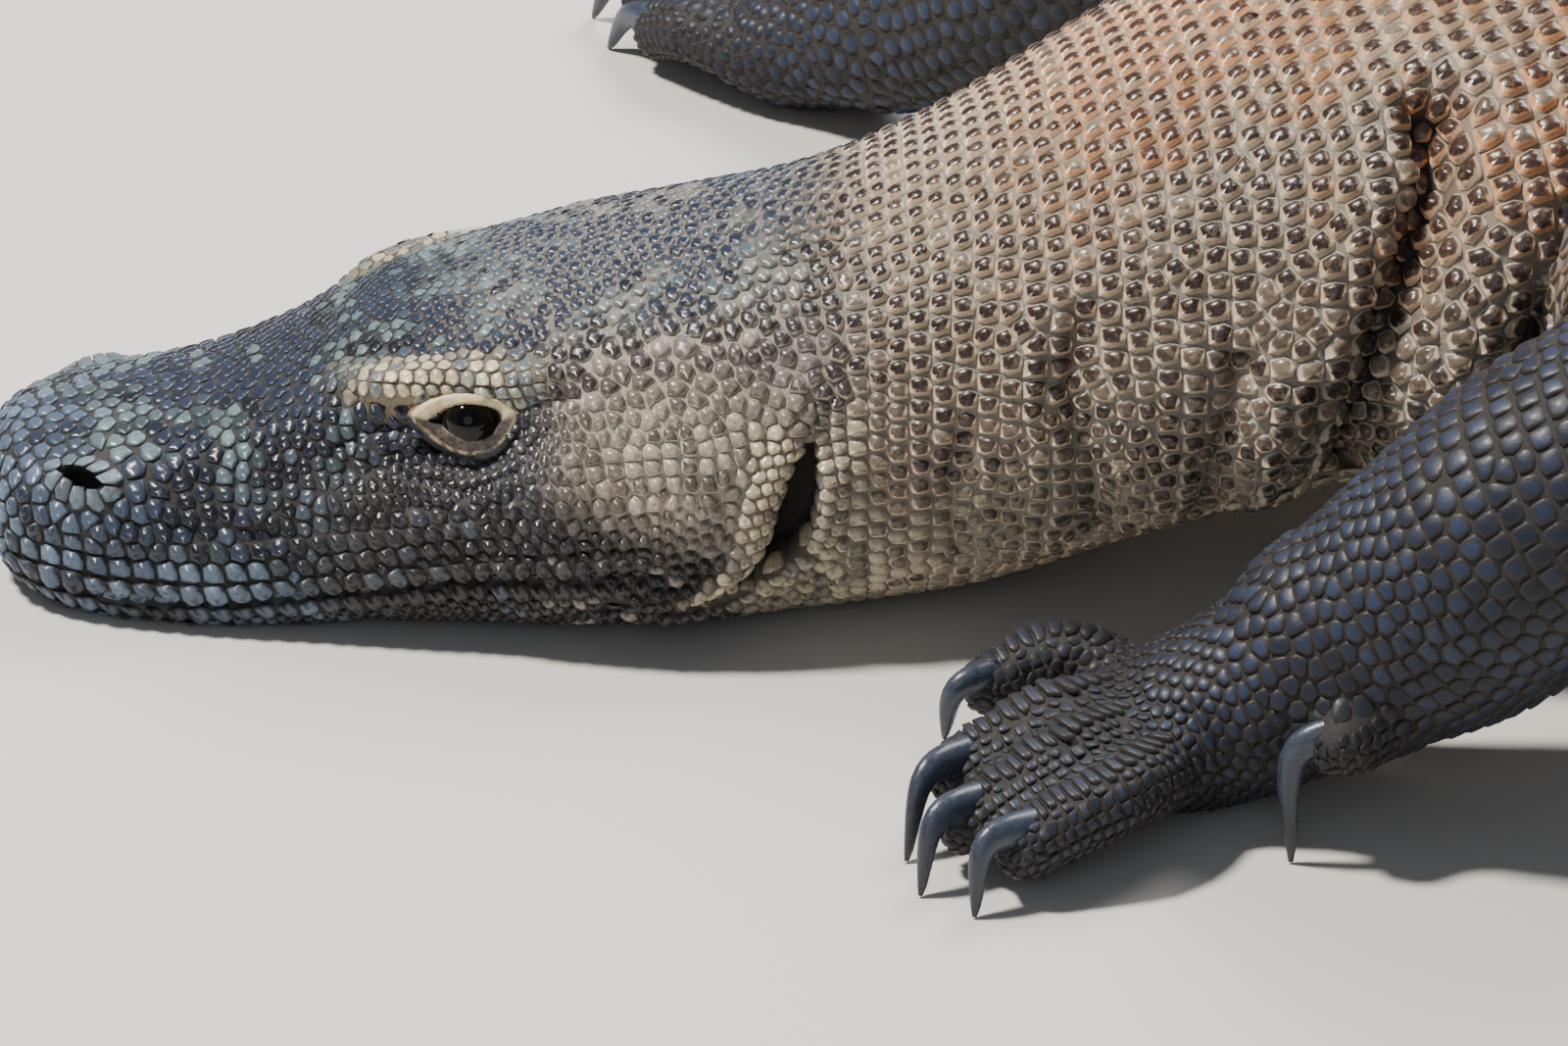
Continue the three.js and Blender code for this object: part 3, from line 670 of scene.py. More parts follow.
# %% Smoothed skin and a whole tail
points, edges = mesh_points(skin.data), mesh_edges(skin.data)
points = smoothed(points, edges, 5)
for _ in range(14):
    inward = neighbour_mean(points, edges) - points
    away = np.linalg.norm(points - body_surface(*body_place(points), folds=False), axis=1)
    blend = ramp(away, 1.5, 4.0) * ramp(away, 30, 16)
    points = points + inward * (0.5 * blend)[:, None]
along, down = body_place(points)
DRAWN_FROM = 2500  # the tail is drawn out from here on
drawn = along > DRAWN_FROM
stretch = np.clip(along - DRAWN_FROM, 0, None) * ((LENGTH - 3 - DRAWN_FROM) / (along.max() - DRAWN_FROM) - 1)
x, y, q = spine(along + stretch)
x0, y0, q0 = spine(along)
side = (points[:, 0] - SNOUT[0] - x0) * np.cos(q0) - (points[:, 1] - SNOUT[1] - y0) * np.sin(q0)
moved = np.stack([x + np.cos(q) * side, y - np.sin(q) * side], -1) + SNOUT[:2]
points[:, :2] = np.where(drawn[:, None], moved, points[:, :2])
set_points(skin.data, fit_to_body(points, folds=False))
print("the tail's tip was drawn out by mm", round(float(stretch.max()), 1))

# %% [markdown]
# ## A finer mesh where the folds are
# Folds need vertices to bend. A finer mesh all over would be heavy, so only the head's edges are cut in
# two, and those round the eyes, nostrils, ears and lips once more. Then the folds are pressed in.

# %% The head is refined and given its folds
def near_features(points):
    """Where the skin needs its finest mesh: eyes, nostrils, ears and the lips."""
    along, down = body_place(points)
    around = np.abs(down)
    step = girth_step(along)
    eye = np.hypot(along - EYE[0], (around - EYE[1]) * step) < 19
    nostril = np.hypot(along - NOSTRIL[0], (around - NOSTRIL[1]) * step) < 11
    ear = (np.abs(along - EAR_LINE(around)) < 11) & (around > 64) & (around < 112)
    ear |= (along > 168) & (along < 214) & (around > 98) & (around < 122)
    lips = (points[:, 2] - MOUTH(along) > -3.4) & (points[:, 2] - MOUTH(along) < 10) & (along < MOUTH_END)
    lips &= around > 60
    return eye | nostril | ear | lips


def refine(mesh, chosen):
    """Cuts every edge between chosen vertices once."""
    shape = bmesh.new()
    shape.from_mesh(mesh)
    shape.verts.ensure_lookup_table()
    edges = [e for e in shape.edges if chosen[e.verts[0].index] and chosen[e.verts[1].index]]
    bmesh.ops.subdivide_edges(shape, edges=edges, cuts=1, use_grid_fill=True)
    bmesh.ops.triangulate(shape, faces=[f for f in shape.faces if len(f.verts) > 4])
    shape.to_mesh(mesh)
    shape.free()


refine(skin.data, body_place(mesh_points(skin.data))[0] < 244)
refine(skin.data, near_features(mesh_points(skin.data)))
points, edges = mesh_points(skin.data), mesh_edges(skin.data)
on_head = ramp(body_place(points)[0], 300, 240)[:, None]
points = smoothed(points, edges, 2, on_head)
points = fit_to_body(points, folds=True)
points[:, 2] = np.maximum(points[:, 2], 1.2)
set_points(skin.data, points)
skin.data.shade_smooth()
triangles = sum(len(p.vertices) - 2 for p in skin.data.polygons)
print("skin:", triangles, "triangles")

# %% [markdown]
# ## What the skin knows about itself
# Every vertex of the skin learns which length of which limb it lies on, how far along, and which way is
# rearward there, because scales point and grow by that. A vertex belongs to a limb when the limb's surface
# is nearer to it than the body's.

# %% Region and direction
points = mesh_points(skin.data)
along, down = body_place(points)
around = np.abs(down)
_, _, q = spine(along)
rearward = np.stack([np.sin(q), np.cos(q), np.zeros(len(q))], -1)
region = np.zeros(len(points), int)  # 0 is the body, 1 onward the lengths of the legs
skin_share = along / LENGTH  # how far along the body or its limb a vertex lies
skin_gap = np.linalg.norm(points - body_surface(along, down, folds=False), axis=1)
turned = down.copy()
for number, tube in enumerate(TUBES, 1):
    steps = np.linspace(0, 1, 41)
    middle = tube["at"](steps) + SNOUT
    reach = float(tube["thick"](steps).max()) + 12
    low, high = middle.min(0) - reach, middle.max(0) + reach
    some = np.nonzero(((points > low) & (points < high)).all(1))[0]
    here = points[some]
    apart = np.linalg.norm(here[:, None] - middle[None], axis=2) - tube["thick"](steps)[None]
    step = np.argmin(apart, 1)
    ahead = tube["at"](np.minimum(steps + 0.02, 1)) - tube["at"](np.maximum(steps - 0.02, 0))
    ahead /= np.linalg.norm(ahead, axis=1)[:, None]
    gap = np.abs(apart[np.arange(len(some)), step] + COAT)
    closer = gap < skin_gap[some] - 1.0
    won = some[closer]
    skin_gap[won], region[won], skin_share[won] = gap[closer], number, steps[step[closer]]
    rearward[won] = ahead[step[closer]]
    spread = here[closer] - middle[step[closer]]
    across = np.cross(ahead[step[closer]], [0, 0, 1.0])
    turned[won] = np.degrees(np.arctan2(spread[:, 2], (spread * across).sum(1)))

edges = mesh_edges(skin.data)
for _ in range(12):
    rearward = rearward + neighbour_mean(rearward, edges)
    rearward /= np.linalg.norm(rearward, axis=1)[:, None]
print("vertices on the body", int((region == 0).sum()), "and on the legs", int((region > 0).sum()))

# %% [markdown]
# ## How large the scales are
# Scales are smallest on the face and digits and largest on the back, belly and tail, as on the animal. The
# size is a law of the place on the body, and on a limb it shrinks toward the claws.

# %% Scale size
PITCH = law(
    [0, 40, 80, 112, 150, 200, 236, 300, 430, 800, 1200, 1700, 2300, 2700],
    [5.6, 5.4, 4.7, 4.0, 3.8, 4.7, 5.6, 6.6, 7.8, 9.4, 9.4, 9.0, 7.0, 5.0],
)


def scale_size(along, around):
    """How far apart scales grow, in mm."""
    step = girth_step(along)
    from_eye = np.hypot((along - EYE[0]) / 11, (around - EYE[1]) * step / 8)
    size = PITCH(along) * (1 - 0.20 * ramp(along, 215, 262) * ramp(along, 420, 300) * ramp(around, 66, 104))
    size = size + 1.9 * bell(along, 176, 24) * bell(around, 44, 12)
    size = size * (1 - 0.16 * bell(along, 190, 26) * bell(around, 82, 18))
    size = size * (1 - 0.30 * ramp(from_eye, 3.2, 1.5) * ramp(around, 46, 58))
    return size * (1 + 0.25 * ramp(along, 420, 600) * ramp(around, 115, 140))


def spread_out(values, rounds, amount=0.5):
    """Lets each vertex take on some of its neighbours' values, again and again."""
    column = values[:, None] if values.ndim == 1 else values
    for _ in range(rounds):
        column = (1 - amount) * column + amount * neighbour_mean(column, edges)
    return column[:, 0] if values.ndim == 1 else column


LIMB_PITCH = {"upper": 7.8, "lower": 7.2, "foot": 5.4, "digit": 3.4}
pitch = scale_size(along, around)
for number, tube in enumerate(TUBES, 1):
    kind = tube["name"].split("_")[2]
    size = LIMB_PITCH[kind] * (1 if tube["name"].startswith("fore_left") else 1.15)
    mine = region == number
    pitch[mine] = size - (0.6 if kind == "digit" else 1.2) * skin_share[mine]
pitch = spread_out(pitch, 10)
print("scales grow from", round(float(pitch.min()), 1), "to", round(float(pitch.max()), 1), "mm apart")

# %% [markdown]
# ## Where the limbs turn dark
# An old dragon's limbs are darker than its trunk, and here their dark is partly painted shade as well. The
# change is no line: the dark fades in over the shoulder and the hip. So the upper lengths start pale, and the
# value is spread among neighbours for many rounds.

# %% How far each vertex wears the limbs' dark colours, partly painted shade
# The limbs' dark: partly their own colour, partly painted shade
limb_dark_and_shade = (region > 0).astype(float)
for number, tube in enumerate(TUBES, 1):
    if "upper" in tube["name"]:
        limb_dark_and_shade[region == number] = ramp(skin_share[region == number], 0.08, 0.55)
limb_dark_and_shade = spread_out(limb_dark_and_shade, 45, 0.6)
print("vertices that are more dark than pale:", int((limb_dark_and_shade > 0.5).sum()))

# %% [markdown]
# ## Markings
# An old dragon is dark slate on the snout and limbs, creamy on the brow, cheek and ear rim, and sandy to
# rusty on the neck and shoulder. Part of the dark on the limbs, the snout's side and the jaw is painted shade,
# part of the pale on the cheek and the snout's top is painted light, and part of the blue on the limbs is a
# painted reflection. Every scale has a crown and an edge of its own colour, with bare skin between. One set
# of functions paints both the skin and the scales, so that they always agree. Clouds made of sine waves break
# the colours up, as age and dust do.

# %% Clouds, colours and a wash
def cloud(places, size, seed):
    """A smooth random pattern from about -2 to 2, with blotches of the size given in mm."""
    waves = np.random.default_rng(seed)
    total = np.zeros(len(places))
    for _ in range(14):
        way = waves.normal(size=3)
        way *= waves.uniform(0.6, 1.5) / np.linalg.norm(way)
        total += np.sin(places @ way * (2 * math.pi / size) / 1.6 + waves.uniform(0, 6.283))
    return total / math.sqrt(7)


# The darkest blue also stands for painted shade on the snout's side, and the mint also for painted highlight
# on its top
SLATE, NIGHT_AND_SHADE = (0.019, 0.026, 0.050), (0.006, 0.007, 0.012)
FROST, MINT_AND_HIGHLIGHT = (0.155, 0.225, 0.335), (0.19, 0.275, 0.29)
CREAM, BONE = (0.66, 0.55, 0.37), (0.62, 0.56, 0.48)
SAND, DUST = (0.48, 0.345, 0.225), (0.40, 0.365, 0.305)
UMBER, RUST = (0.028, 0.017, 0.014), (0.52, 0.235, 0.10)
# The limbs' dark colours, partly painted shade
LIMB_AND_SHADE, LIMB_EDGE_AND_SHADE = (0.009, 0.011, 0.019), (0.024, 0.022, 0.023)


def toward(colour, other, amount):
    amount = np.clip(amount, 0, 1)
    return colour + (np.asarray(other) - colour) * (amount[:, None] if colour.ndim == 2 else amount)


def all_over(colour, count):
    return np.tile(colour, (count, 1)).astype(float)


def wash(look, amount, **aims):
    """Draws parts of a look toward other colours or values; each aim is its goal and a strength."""
    for part, (goal, strength) in aims.items():
        look[part] = toward(look[part], goal, amount * strength)


print("the highest value of a cloud over the skin:", round(float(cloud(points, 75, 1).max()), 2))

# %% [markdown]
# ## Neck, trunk and tail
# The neck's scales are sandy or rusty with dark, shining crowns. Down the side the crowns turn paler, and
# toward the hip and along the tail everything turns darker. The names in at, such as along and around, say
# where each place lies, and its clouds are called soft, small and fleck, from wide to fine.

# %% Paint for the neck, trunk and tail
def paint_trunk(look, at):
    along, around, soft, small, fleck = at.along, at.around, at.soft, at.small, at.fleck
    shoulder = ramp(along, 400, 500) * ramp(around, 112, 66) * ramp(soft + 0.4 * small, -1.6, 0.6)
    rust = ramp(along, 250, 310) * ramp(around, 90, 50) * ramp(soft + 0.5 * small, -1.3, 0.5)
    rust = np.maximum(rust, shoulder)
    wash(look, rust * ramp(fleck, -1.8, 0.2), edge=(RUST, 1))
    wash(look, rust, between=((0.42, 0.30, 0.20), 0.7), crown=((0.060, 0.026, 0.016), 0.6))
    wash(look, ramp(fleck, 1.1, 1.9), crown=((0.17, 0.135, 0.10), 0.8))
    pale = ramp(along, 236, 330) * ramp(around, 58, 96) * np.clip(0.55 + 0.3 * small, 0, 1)
    wash(look, pale * ramp(fleck, -1.8, 0.4), crown=((0.17, 0.125, 0.09), 1))
    wash(look, pale, edge=((0.56, 0.47, 0.35), 1), between=((0.38, 0.35, 0.29), 1))
    trunk, tail = ramp(along, 440, 700), ramp(along, 1150, 1700)
    wash(look, trunk, edge=((0.25, 0.175, 0.12), 0.85), between=((0.15, 0.125, 0.10), 0.85))
    wash(look, trunk, crown=((0.022, 0.018, 0.018), 0.8))
    wash(look, tail, edge=((0.13, 0.11, 0.09), 0.85), between=((0.07, 0.06, 0.052), 0.85))
    wash(look, tail, crown=((0.024, 0.021, 0.022), 1))
    wash(look, ramp(along, 520, 800) * ramp(around, 70, 25), edge=((0.20, 0.135, 0.095), 0.6))


print("paint for the trunk is ready")

# %% [markdown]
# ## Snout and the head's top
# Here the scales are slate and night blue, mottled with mint. The night blue is deepest on the snout's side
# before the eye, partly as painted shade, and the mint is strongest on the snout's top, partly as painted
# highlight. Frosted ones stand on the snout's front and the lips, which rub on the ground. Behind the eyes
# the skin between the scales is pale and shows as a net.

# %% Paint for the snout and the head's top
def paint_snout(look, at):
    along, around, soft, small, fleck = at.along, at.around, at.soft, at.small, at.fleck
    n = len(along)
    # Darkest blue: random dark clouds, plus painted shade on the snout's side before the eye
    night_and_shade = np.maximum(bell(along, 80, 36) * ramp(around, 38, 58), 0.9 * ramp(small, -0.1, 1.0))
    slate = toward(all_over(SLATE, n), NIGHT_AND_SHADE, night_and_shade * ramp(fleck, 1.5, 0.2))
    # Mint flecks: partly the scales' own colour, partly painted highlight, stronger on the snout's top than on
    # its side
    mint_and_highlight = ramp(small + 0.8 * soft, 0.3, 1.8) * ramp(fleck, -1.8, 0.6) + 0.7 * ramp(fleck, 1.4, 1.9)
    mint_and_top_highlight_weight = (0.58 - 0.42 * ramp(around, 40, 66)) * (1 - 0.55 * ramp(along, 140, 175))
    slate = toward(slate, MINT_AND_HIGHLIGHT, np.clip(mint_and_highlight, 0, 1) * mint_and_top_highlight_weight)
    grey = ramp(along, 130, 175) * ramp(small, 0.2, 1.3) * ramp(fleck, -1.0, 1.0)
    slate = toward(slate, (0.21, 0.20, 0.185), grey * 0.8)
    front = np.maximum(ramp(along, 58, 8), 0.9 * ramp(at.height, 30, 14) * ramp(along, 128, 70))
    slate = toward(slate, FROST, front * ramp(at.even - 0.5 * small, -1.0, 0.9) * 0.50)
    from_nose = np.hypot((along - NOSTRIL[0]) / 11, (around - NOSTRIL[1]) / 14)
    slate = toward(slate, (0.15, 0.19, 0.22), ramp(from_nose, 1.25, 0.9) * 0.6)
    rim = toward(slate, (0.040, 0.048, 0.064), np.full(n, 0.5))
    wash(look, at.head, crown=(slate, 1), edge=(rim, 1), between=((0.013, 0.014, 0.018), 1))
    wash(look, at.head, cover=(0.86, 1), mottle=(1.2, 1))
    crest = at.head * ramp(around, 50, 26) * ramp(along, 112, 150)
    wash(look, crest, between=((0.33, 0.31, 0.275), 0.9), edge=((0.21, 0.205, 0.195), 0.75))


print("paint for the snout is ready")

# %% [markdown]
# ## Temple, cheek and the skin under the eye
# On the temple dark beads, then pale ones, lie in a net of bone-coloured skin. The cheek's round patch is
# the palest part of the head, partly its own cream and partly a painted pool of light, and below it a dark
# band runs back over the jaw, partly its own dark scales and partly painted shade on the head's lower side.

# %% Paint for the temple and cheek
def paint_cheek(look, at):
    along, around, fleck = at.along, at.around, at.fleck
    temple = at.head * ramp(along, 143, 166) * ramp(around, 28, 44)
    bead = toward(all_over((0.028, 0.022, 0.024), len(along)), (0.22, 0.19, 0.165), ramp(fleck, 0.4, 1.5))
    wash(look, temple, crown=(bead, 1), edge=((0.46, 0.42, 0.37), 1), between=(BONE, 1))
    wash(look, temple, cover=(1.02, 1), mottle=(0.35, 1))
    # The cheek's round pale patch: partly the skin's own cream, partly a painted pool of light
    cheek = np.clip(1.35 * bell(along, 190, 16) * bell(around, 74, 12), 0, 1) * (along < 262)
    wash(look, cheek * ramp(fleck, 1.6, -0.2), crown=((0.42, 0.345, 0.275), 1))
    wash(look, cheek * ramp(fleck, 0.0, 0.8), crown=((0.060, 0.042, 0.036), 0.8))
    wash(look, cheek, edge=((0.70, 0.63, 0.52), 1), cover=(0.90, 1))
    # The dark band on the head's lower side: partly the jaw's own dark scales, partly painted shade
    low_line = 76 + 0.28 * (along - 142)
    low = at.head * ramp(around, low_line - 5, low_line + 7) * ramp(along, 78, 120)
    wash(look, low * ramp(fleck, 2.0, 0.9), crown=((0.017, 0.015, 0.016), 1))
    wash(look, low, edge=((0.060, 0.050, 0.046), 0.9), between=((0.022, 0.018, 0.017), 0.95), cover=(1.0, 1))
    under = at.head * bell(along, 130, 19) * bell(around, 75, 10)
    wash(look, under, crown=((0.024, 0.023, 0.027), 0.85), edge=((0.12, 0.115, 0.115), 0.7))
    wash(look, under, between=((0.10, 0.09, 0.085), 0.8))


print("paint for the cheek is ready")

# %% [markdown]
# ## Brow, ear, jowl and throat
# A row of cream scales with green ones among them lines the brow, and a pale strip of skin lies below it.
# The ear's rim, the jowl behind the jaw and the throat are pale too.

# %% Paint for the brow, ear and throat
def paint_brow(look, at):
    along, around, small, fleck = at.along, at.around, at.small, at.fleck
    brow = ramp(along, 92, 112) * ramp(along, 157, 146) * ramp(around, BROW(along) - 9.5, BROW(along) - 5)
    brow = brow * ramp(around, BROW(along) + 8.5, BROW(along) + 6)
    kernel, green = all_over(CREAM, len(along)), ramp(at.grain, 0.25, 0.5) * ramp(small, -1.4, 0.4)
    kernel = toward(kernel, (0.36, 0.42, 0.34), green)
    ends = fleck + ramp(along, 122, 98) + 0.7 * ramp(along, 138, 156)
    kernel = toward(kernel, (0.10, 0.12, 0.14), ramp(ends, 0.5, 1.3))
    wash(look, brow, crown=(kernel, 1), edge=((0.32, 0.28, 0.20), 1), between=((0.11, 0.09, 0.07), 1))
    strip = (np.abs(around - BROW(along) - 6.6) < 2.6) * ramp(along, 100, 106) * ramp(along, 130, 122)
    wash(look, strip, between=((0.60, 0.50, 0.33), 1))
    wash(look, brow, cover=(0.9, 1))


def paint_ear(look, at):
    along, around, fleck, line = at.along, at.around, at.fleck, EAR_LINE(at.around)
    ear = ramp(along, line - 19, line - 11) * ramp(along, line + 1, line - 3)
    ear = ear * ramp(around, 60, 70) * ramp(around, 116, 108)
    behind = bell(along, line + 11, 5.5) * ramp(around, 66, 76) * ramp(around, 120, 108)
    wash(look, np.maximum(ear * 0.9, behind * 0.6) * ramp(fleck, 1.6, 0.3), crown=((0.60, 0.53, 0.36), 1))
    both = np.maximum(ear, behind * 0.7)
    wash(look, both, edge=((0.50, 0.42, 0.29), 1), between=((0.26, 0.21, 0.155), 1))
    jowl = bell(along, 238, 20) * ramp(around, 88, 99) * (along > 205)
    wash(look, jowl * ramp(fleck, 1.2, -0.4), crown=((0.44, 0.39, 0.27), 1))
    wash(look, jowl, edge=((0.55, 0.48, 0.36), 1), between=((0.24, 0.20, 0.155), 1))
    throat = ramp(around, 124, 150) * ramp(along, 600, 420) * (1 - at.head)
    wash(look, throat, crown=((0.24, 0.20, 0.155), 0.8))


print("paint for brow, ear and throat is ready")

# %% [markdown]
# ## Limbs, and all of it together
# The limbs are dark slate-brown with bluish crowns; part of that dark is painted shade, and part of that blue
# a painted reflection. The last function lays the paints over one another, from the trunk to the limbs, and
# lets each scale be a little brighter or darker than the next.

# %% Paint for the limbs, and the whole set of markings
ON_DIGITS = [k for k, tube in enumerate(TUBES, 1) if "digit" in tube["name"]]


def paint_limbs(look, at, limb):
    # The limbs' bluish crowns: partly their own tint, partly a painted reflection
    blue_and_reflection = 0.25 + 0.75 * ramp(at.soft + 0.5 * at.small + 0.25 * at.fleck, -0.8, 1.4)
    bluish_with_reflection = LIMB_AND_SHADE + blue_and_reflection[:, None] * np.array([0.012, 0.021, 0.046])
    wash(look, limb, crown=(bluish_with_reflection, 1), edge=(LIMB_EDGE_AND_SHADE, 1), between=((0.012, 0.011, 0.011), 1))
    wash(look, limb, cover=(0.62, 1), mottle=(0.5, 1))


def markings(places, along, down, region, grain, limb):
    """Colours of crown, edge and the skin between, with how far the crown's colour covers a scale and how
    mottled it is. grain is a random number for each scale, or 0.5 all over for bare skin; limb is how far a
    place wears the limbs' dark colours, which are partly painted shade."""
    n = len(places)
    at = SimpleNamespace(along=along, around=np.abs(down), height=places[:, 2], grain=grain)
    at.soft, at.small, at.head = cloud(places, 75, 1), cloud(places, 18, 2), ramp(along, 250, 206)
    at.fleck = 0.7 * cloud(places, 8, 3) + (grain - 0.5) * 3.2
    at.even = 0.5 * cloud(places, 11, 4) + (grain - 0.5) * 1.1
    look = dict(crown=all_over(UMBER, n), edge=all_over(SAND, n), between=all_over(DUST, n))
    look.update(cover=np.full(n, 0.70), mottle=np.full(n, 0.40))
    for paint in (paint_trunk, paint_snout, paint_cheek, paint_brow, paint_ear):
        paint(look, at)
    paint_limbs(look, at, limb)
    bright = 1 + 0.5 * (grain - 0.5)[:, None]
    crown = np.clip(look["crown"] * bright, 0.004, 0.9)
    edge = np.clip(look["edge"] * (0.4 + 0.6 * bright), 0.004, 0.9)
    digits = np.isin(region, ON_DIGITS)
    crown[digits] = 0.6 * crown[digits] + 0.4 * np.array([0.026, 0.025, 0.026])
    shading = (1 - 0.8 * at.head) * (1 - limb)
    colours = dict(crown_colour=crown, edge_colour=edge, between_colour=look["between"])
    return dict(colours, cover=look["cover"], mottle=look["mottle"], shading=shading)


def keep_on(mesh, name, values):
    """Keeps a colour or a value on every vertex."""
    kind, field = ("FLOAT", "value") if values.ndim == 1 else ("FLOAT_COLOR", "color")
    if values.ndim == 2:
        values = np.hstack([values, np.ones((len(values), 1))])
    mesh.attributes.new(name, kind, "POINT").data.foreach_set(field, values.astype(np.float32).ravel())


marks = markings(points, along, down, region, np.full(len(points), 0.5), limb_dark_and_shade)
for name, values in marks.items():
    keep_on(skin.data, name, spread_out(values, 5))
# Painted shade: a value that darkens bare skin where folds, creases, the ear and the nostril sink in, less
# inside the nostril
crease_shade = np.clip(-features(along, np.abs(down), points[:, 2]) / 7.0, 0, 1) ** 1.5 * (region == 0)
crease_shade *= 1 - 0.5 * bell(along, NOSTRIL[0], 8) * bell(np.abs(down), NOSTRIL[1], 12)
keep_on(skin.data, "crease_shade", crease_shade)
print("markings painted on", len(points), "vertices")

# %% [markdown]
# ## The skin as something to stand on
# The scales have to find their ground. A tree of the skin's faces quickly finds the nearest place on it,
# and what its vertices know can be read there.

# %% Nearest places on the skin
faces = [tuple(p.vertices) for p in skin.data.polygons]
surface = BVHTree.FromPolygons([tuple(p) for p in points], faces)
first = np.array([f[:3] for f in faces])
normals = np.empty(len(points) * 3, np.float32)
skin.data.vertices.foreach_get("normal", normals)
normals = normals.reshape(-1, 3).astype(float)


def on_skin(places):
    """The nearest places on the skin, and the faces they lie on."""
    spots, hit = np.empty_like(places), np.empty(len(places), int)
    for i, place in enumerate(places):
        spot, _, face, _ = surface.find_nearest(place)
        spots[i], hit[i] = spot, face
    return spots, hit


def from_skin(values, hit):
    """Reads a vertex value at faces of the skin."""
    return values[first[hit]].mean(1)


print("scales can stand on", len(faces), "faces")

# %% [markdown]
# ## Eyes
# A monitor's eye is a dark, wet ball set deep under the brow. It looks outward and a little up, so the eye
# gets directions of its own: out along its axis, rearward and up. The ball bulges slightly over the iris,
# as a cornea does, and remembers how far each point lies from its axis, so that the iris can be painted by
# that.

# %% The eye's own directions
def eye_frame(hand):
    x, y, q = spine(EYE_ALONG)
    across = np.array([math.cos(q), -math.sin(q), 0.0]) * hand
    centre = SNOUT + [x, y, EYE_HEIGHT] + across * EYE_SIDE
    there = body_surface(EYE[0], EYE[1] * hand, folds=False)
    out = across * 0.86 + np.array([0, 0, 0.50]) - np.array([math.sin(q), math.cos(q), 0]) * 0.05
    out /= np.linalg.norm(out)
    rear = np.array([math.sin(q), math.cos(q), 0.0])
    rear -= out * (rear @ out)
    rear /= np.linalg.norm(rear)
    up = np.cross(out, rear) * hand
    return centre, out, rear, up * np.sign(up[2]), float((there - centre) @ out)


def eyeball(label, hand):
    centre, out, _, _, level = eye_frame(hand)
    ball = bmesh.new()
    from_axis = ball.verts.layers.float.new("from_axis")
    bmesh.ops.create_uvsphere(ball, u_segments=48, v_segments=32, radius=EYE_RADIUS / 1000)
    for vert in ball.verts:
        z = vert.co.z / (EYE_RADIUS / 1000)
        vert[from_axis] = math.acos(max(-1, min(1, z))) / math.pi
        if z > 0.55:
            vert.co.z += 0.0006 * (z - 0.55) / 0.45
    turn_out = Vector(out).to_track_quat("Z", "Y").to_matrix().to_4x4()
    bmesh.ops.transform(ball, matrix=Matrix.Translation(Vector(centre / 1000)) @ turn_out, verts=ball.verts)
    print("the skin lies", round(level, 1), "mm out from the centre of the", label, "eye")
    return mesh_object(f"eyeball_{label}", ball)


print("the left eye looks toward", eye_frame(1)[1].round(2))

# %% [markdown]
# ## The lids
# The lids are one soft ring round the eye: thick and creamy above, thin and brown below, with a groove
# between each lid and the scales beyond. The ring's inner and outer edges are two drawn outlines. Between
# them, a section of eleven steps says how far the lid stands out, and the ring is lofted from edge to edge.

# %% Eyelids
OPENING = [  # the lids' edge in mm rearward and up from the eye's middle, from the rear corner over the top
    (8.6, -0.4), (7.6, 2.3), (4.0, 3.5), (-1.0, 3.8), (-5.8, 2.8), (-9.0, 1.0),
    (-10.9, -0.3), (-7.4, -1.7), (-5.2, -3.4), (-2.2, -5.1), (1.6, -5.8), (5.8, -4.3),
]
LID_END = [
    (14.6, 0.6), (12.4, 4.0), (6.8, 6.8), (0.0, 7.7), (-6.5, 7.4), (-12.6, 5.4),
    (-17.0, 0.8), (-13.6, -4.0), (-9.6, -7.2), (-5.0, -9.6), (1.0, -10.6), (8.4, -8.4),
]


def closed_curve(corners, count):
    """A closed Catmull-Rom curve through the corners."""
    corners = np.array(corners, float)
    t = np.arange(count) / count * len(corners)
    i = t.astype(int)
    u = (t - i)[:, None]
    a, b, c, d = [corners[(i + k) % len(corners)] for k in (-1, 0, 1, 2)]
    return 0.5 * (2 * b + (c - a) * u + (2 * a - 5 * b + 4 * c - d) * u**2 + (3 * b - a - 3 * c + d) * u**3)


LID_SECTION = [  # share of the way from the eye to the skin beyond, lift in mm, and a number for the paint
    (-0.40, -3.0, 0.0), (-0.14, -0.9, 0.02), (-0.01, 0.05, 0.1), (0.08, 0.8, 0.25), (0.22, 1.3, 0.4),
    (0.38, 1.3, 0.5), (0.50, 1.5, 0.62), (0.62, 1.5, 0.72), (0.74, 0.9, 0.82), (0.86, 0.0, 0.92),
    (1.0, -0.2, 1.0),
]
LID_SIDES = 120


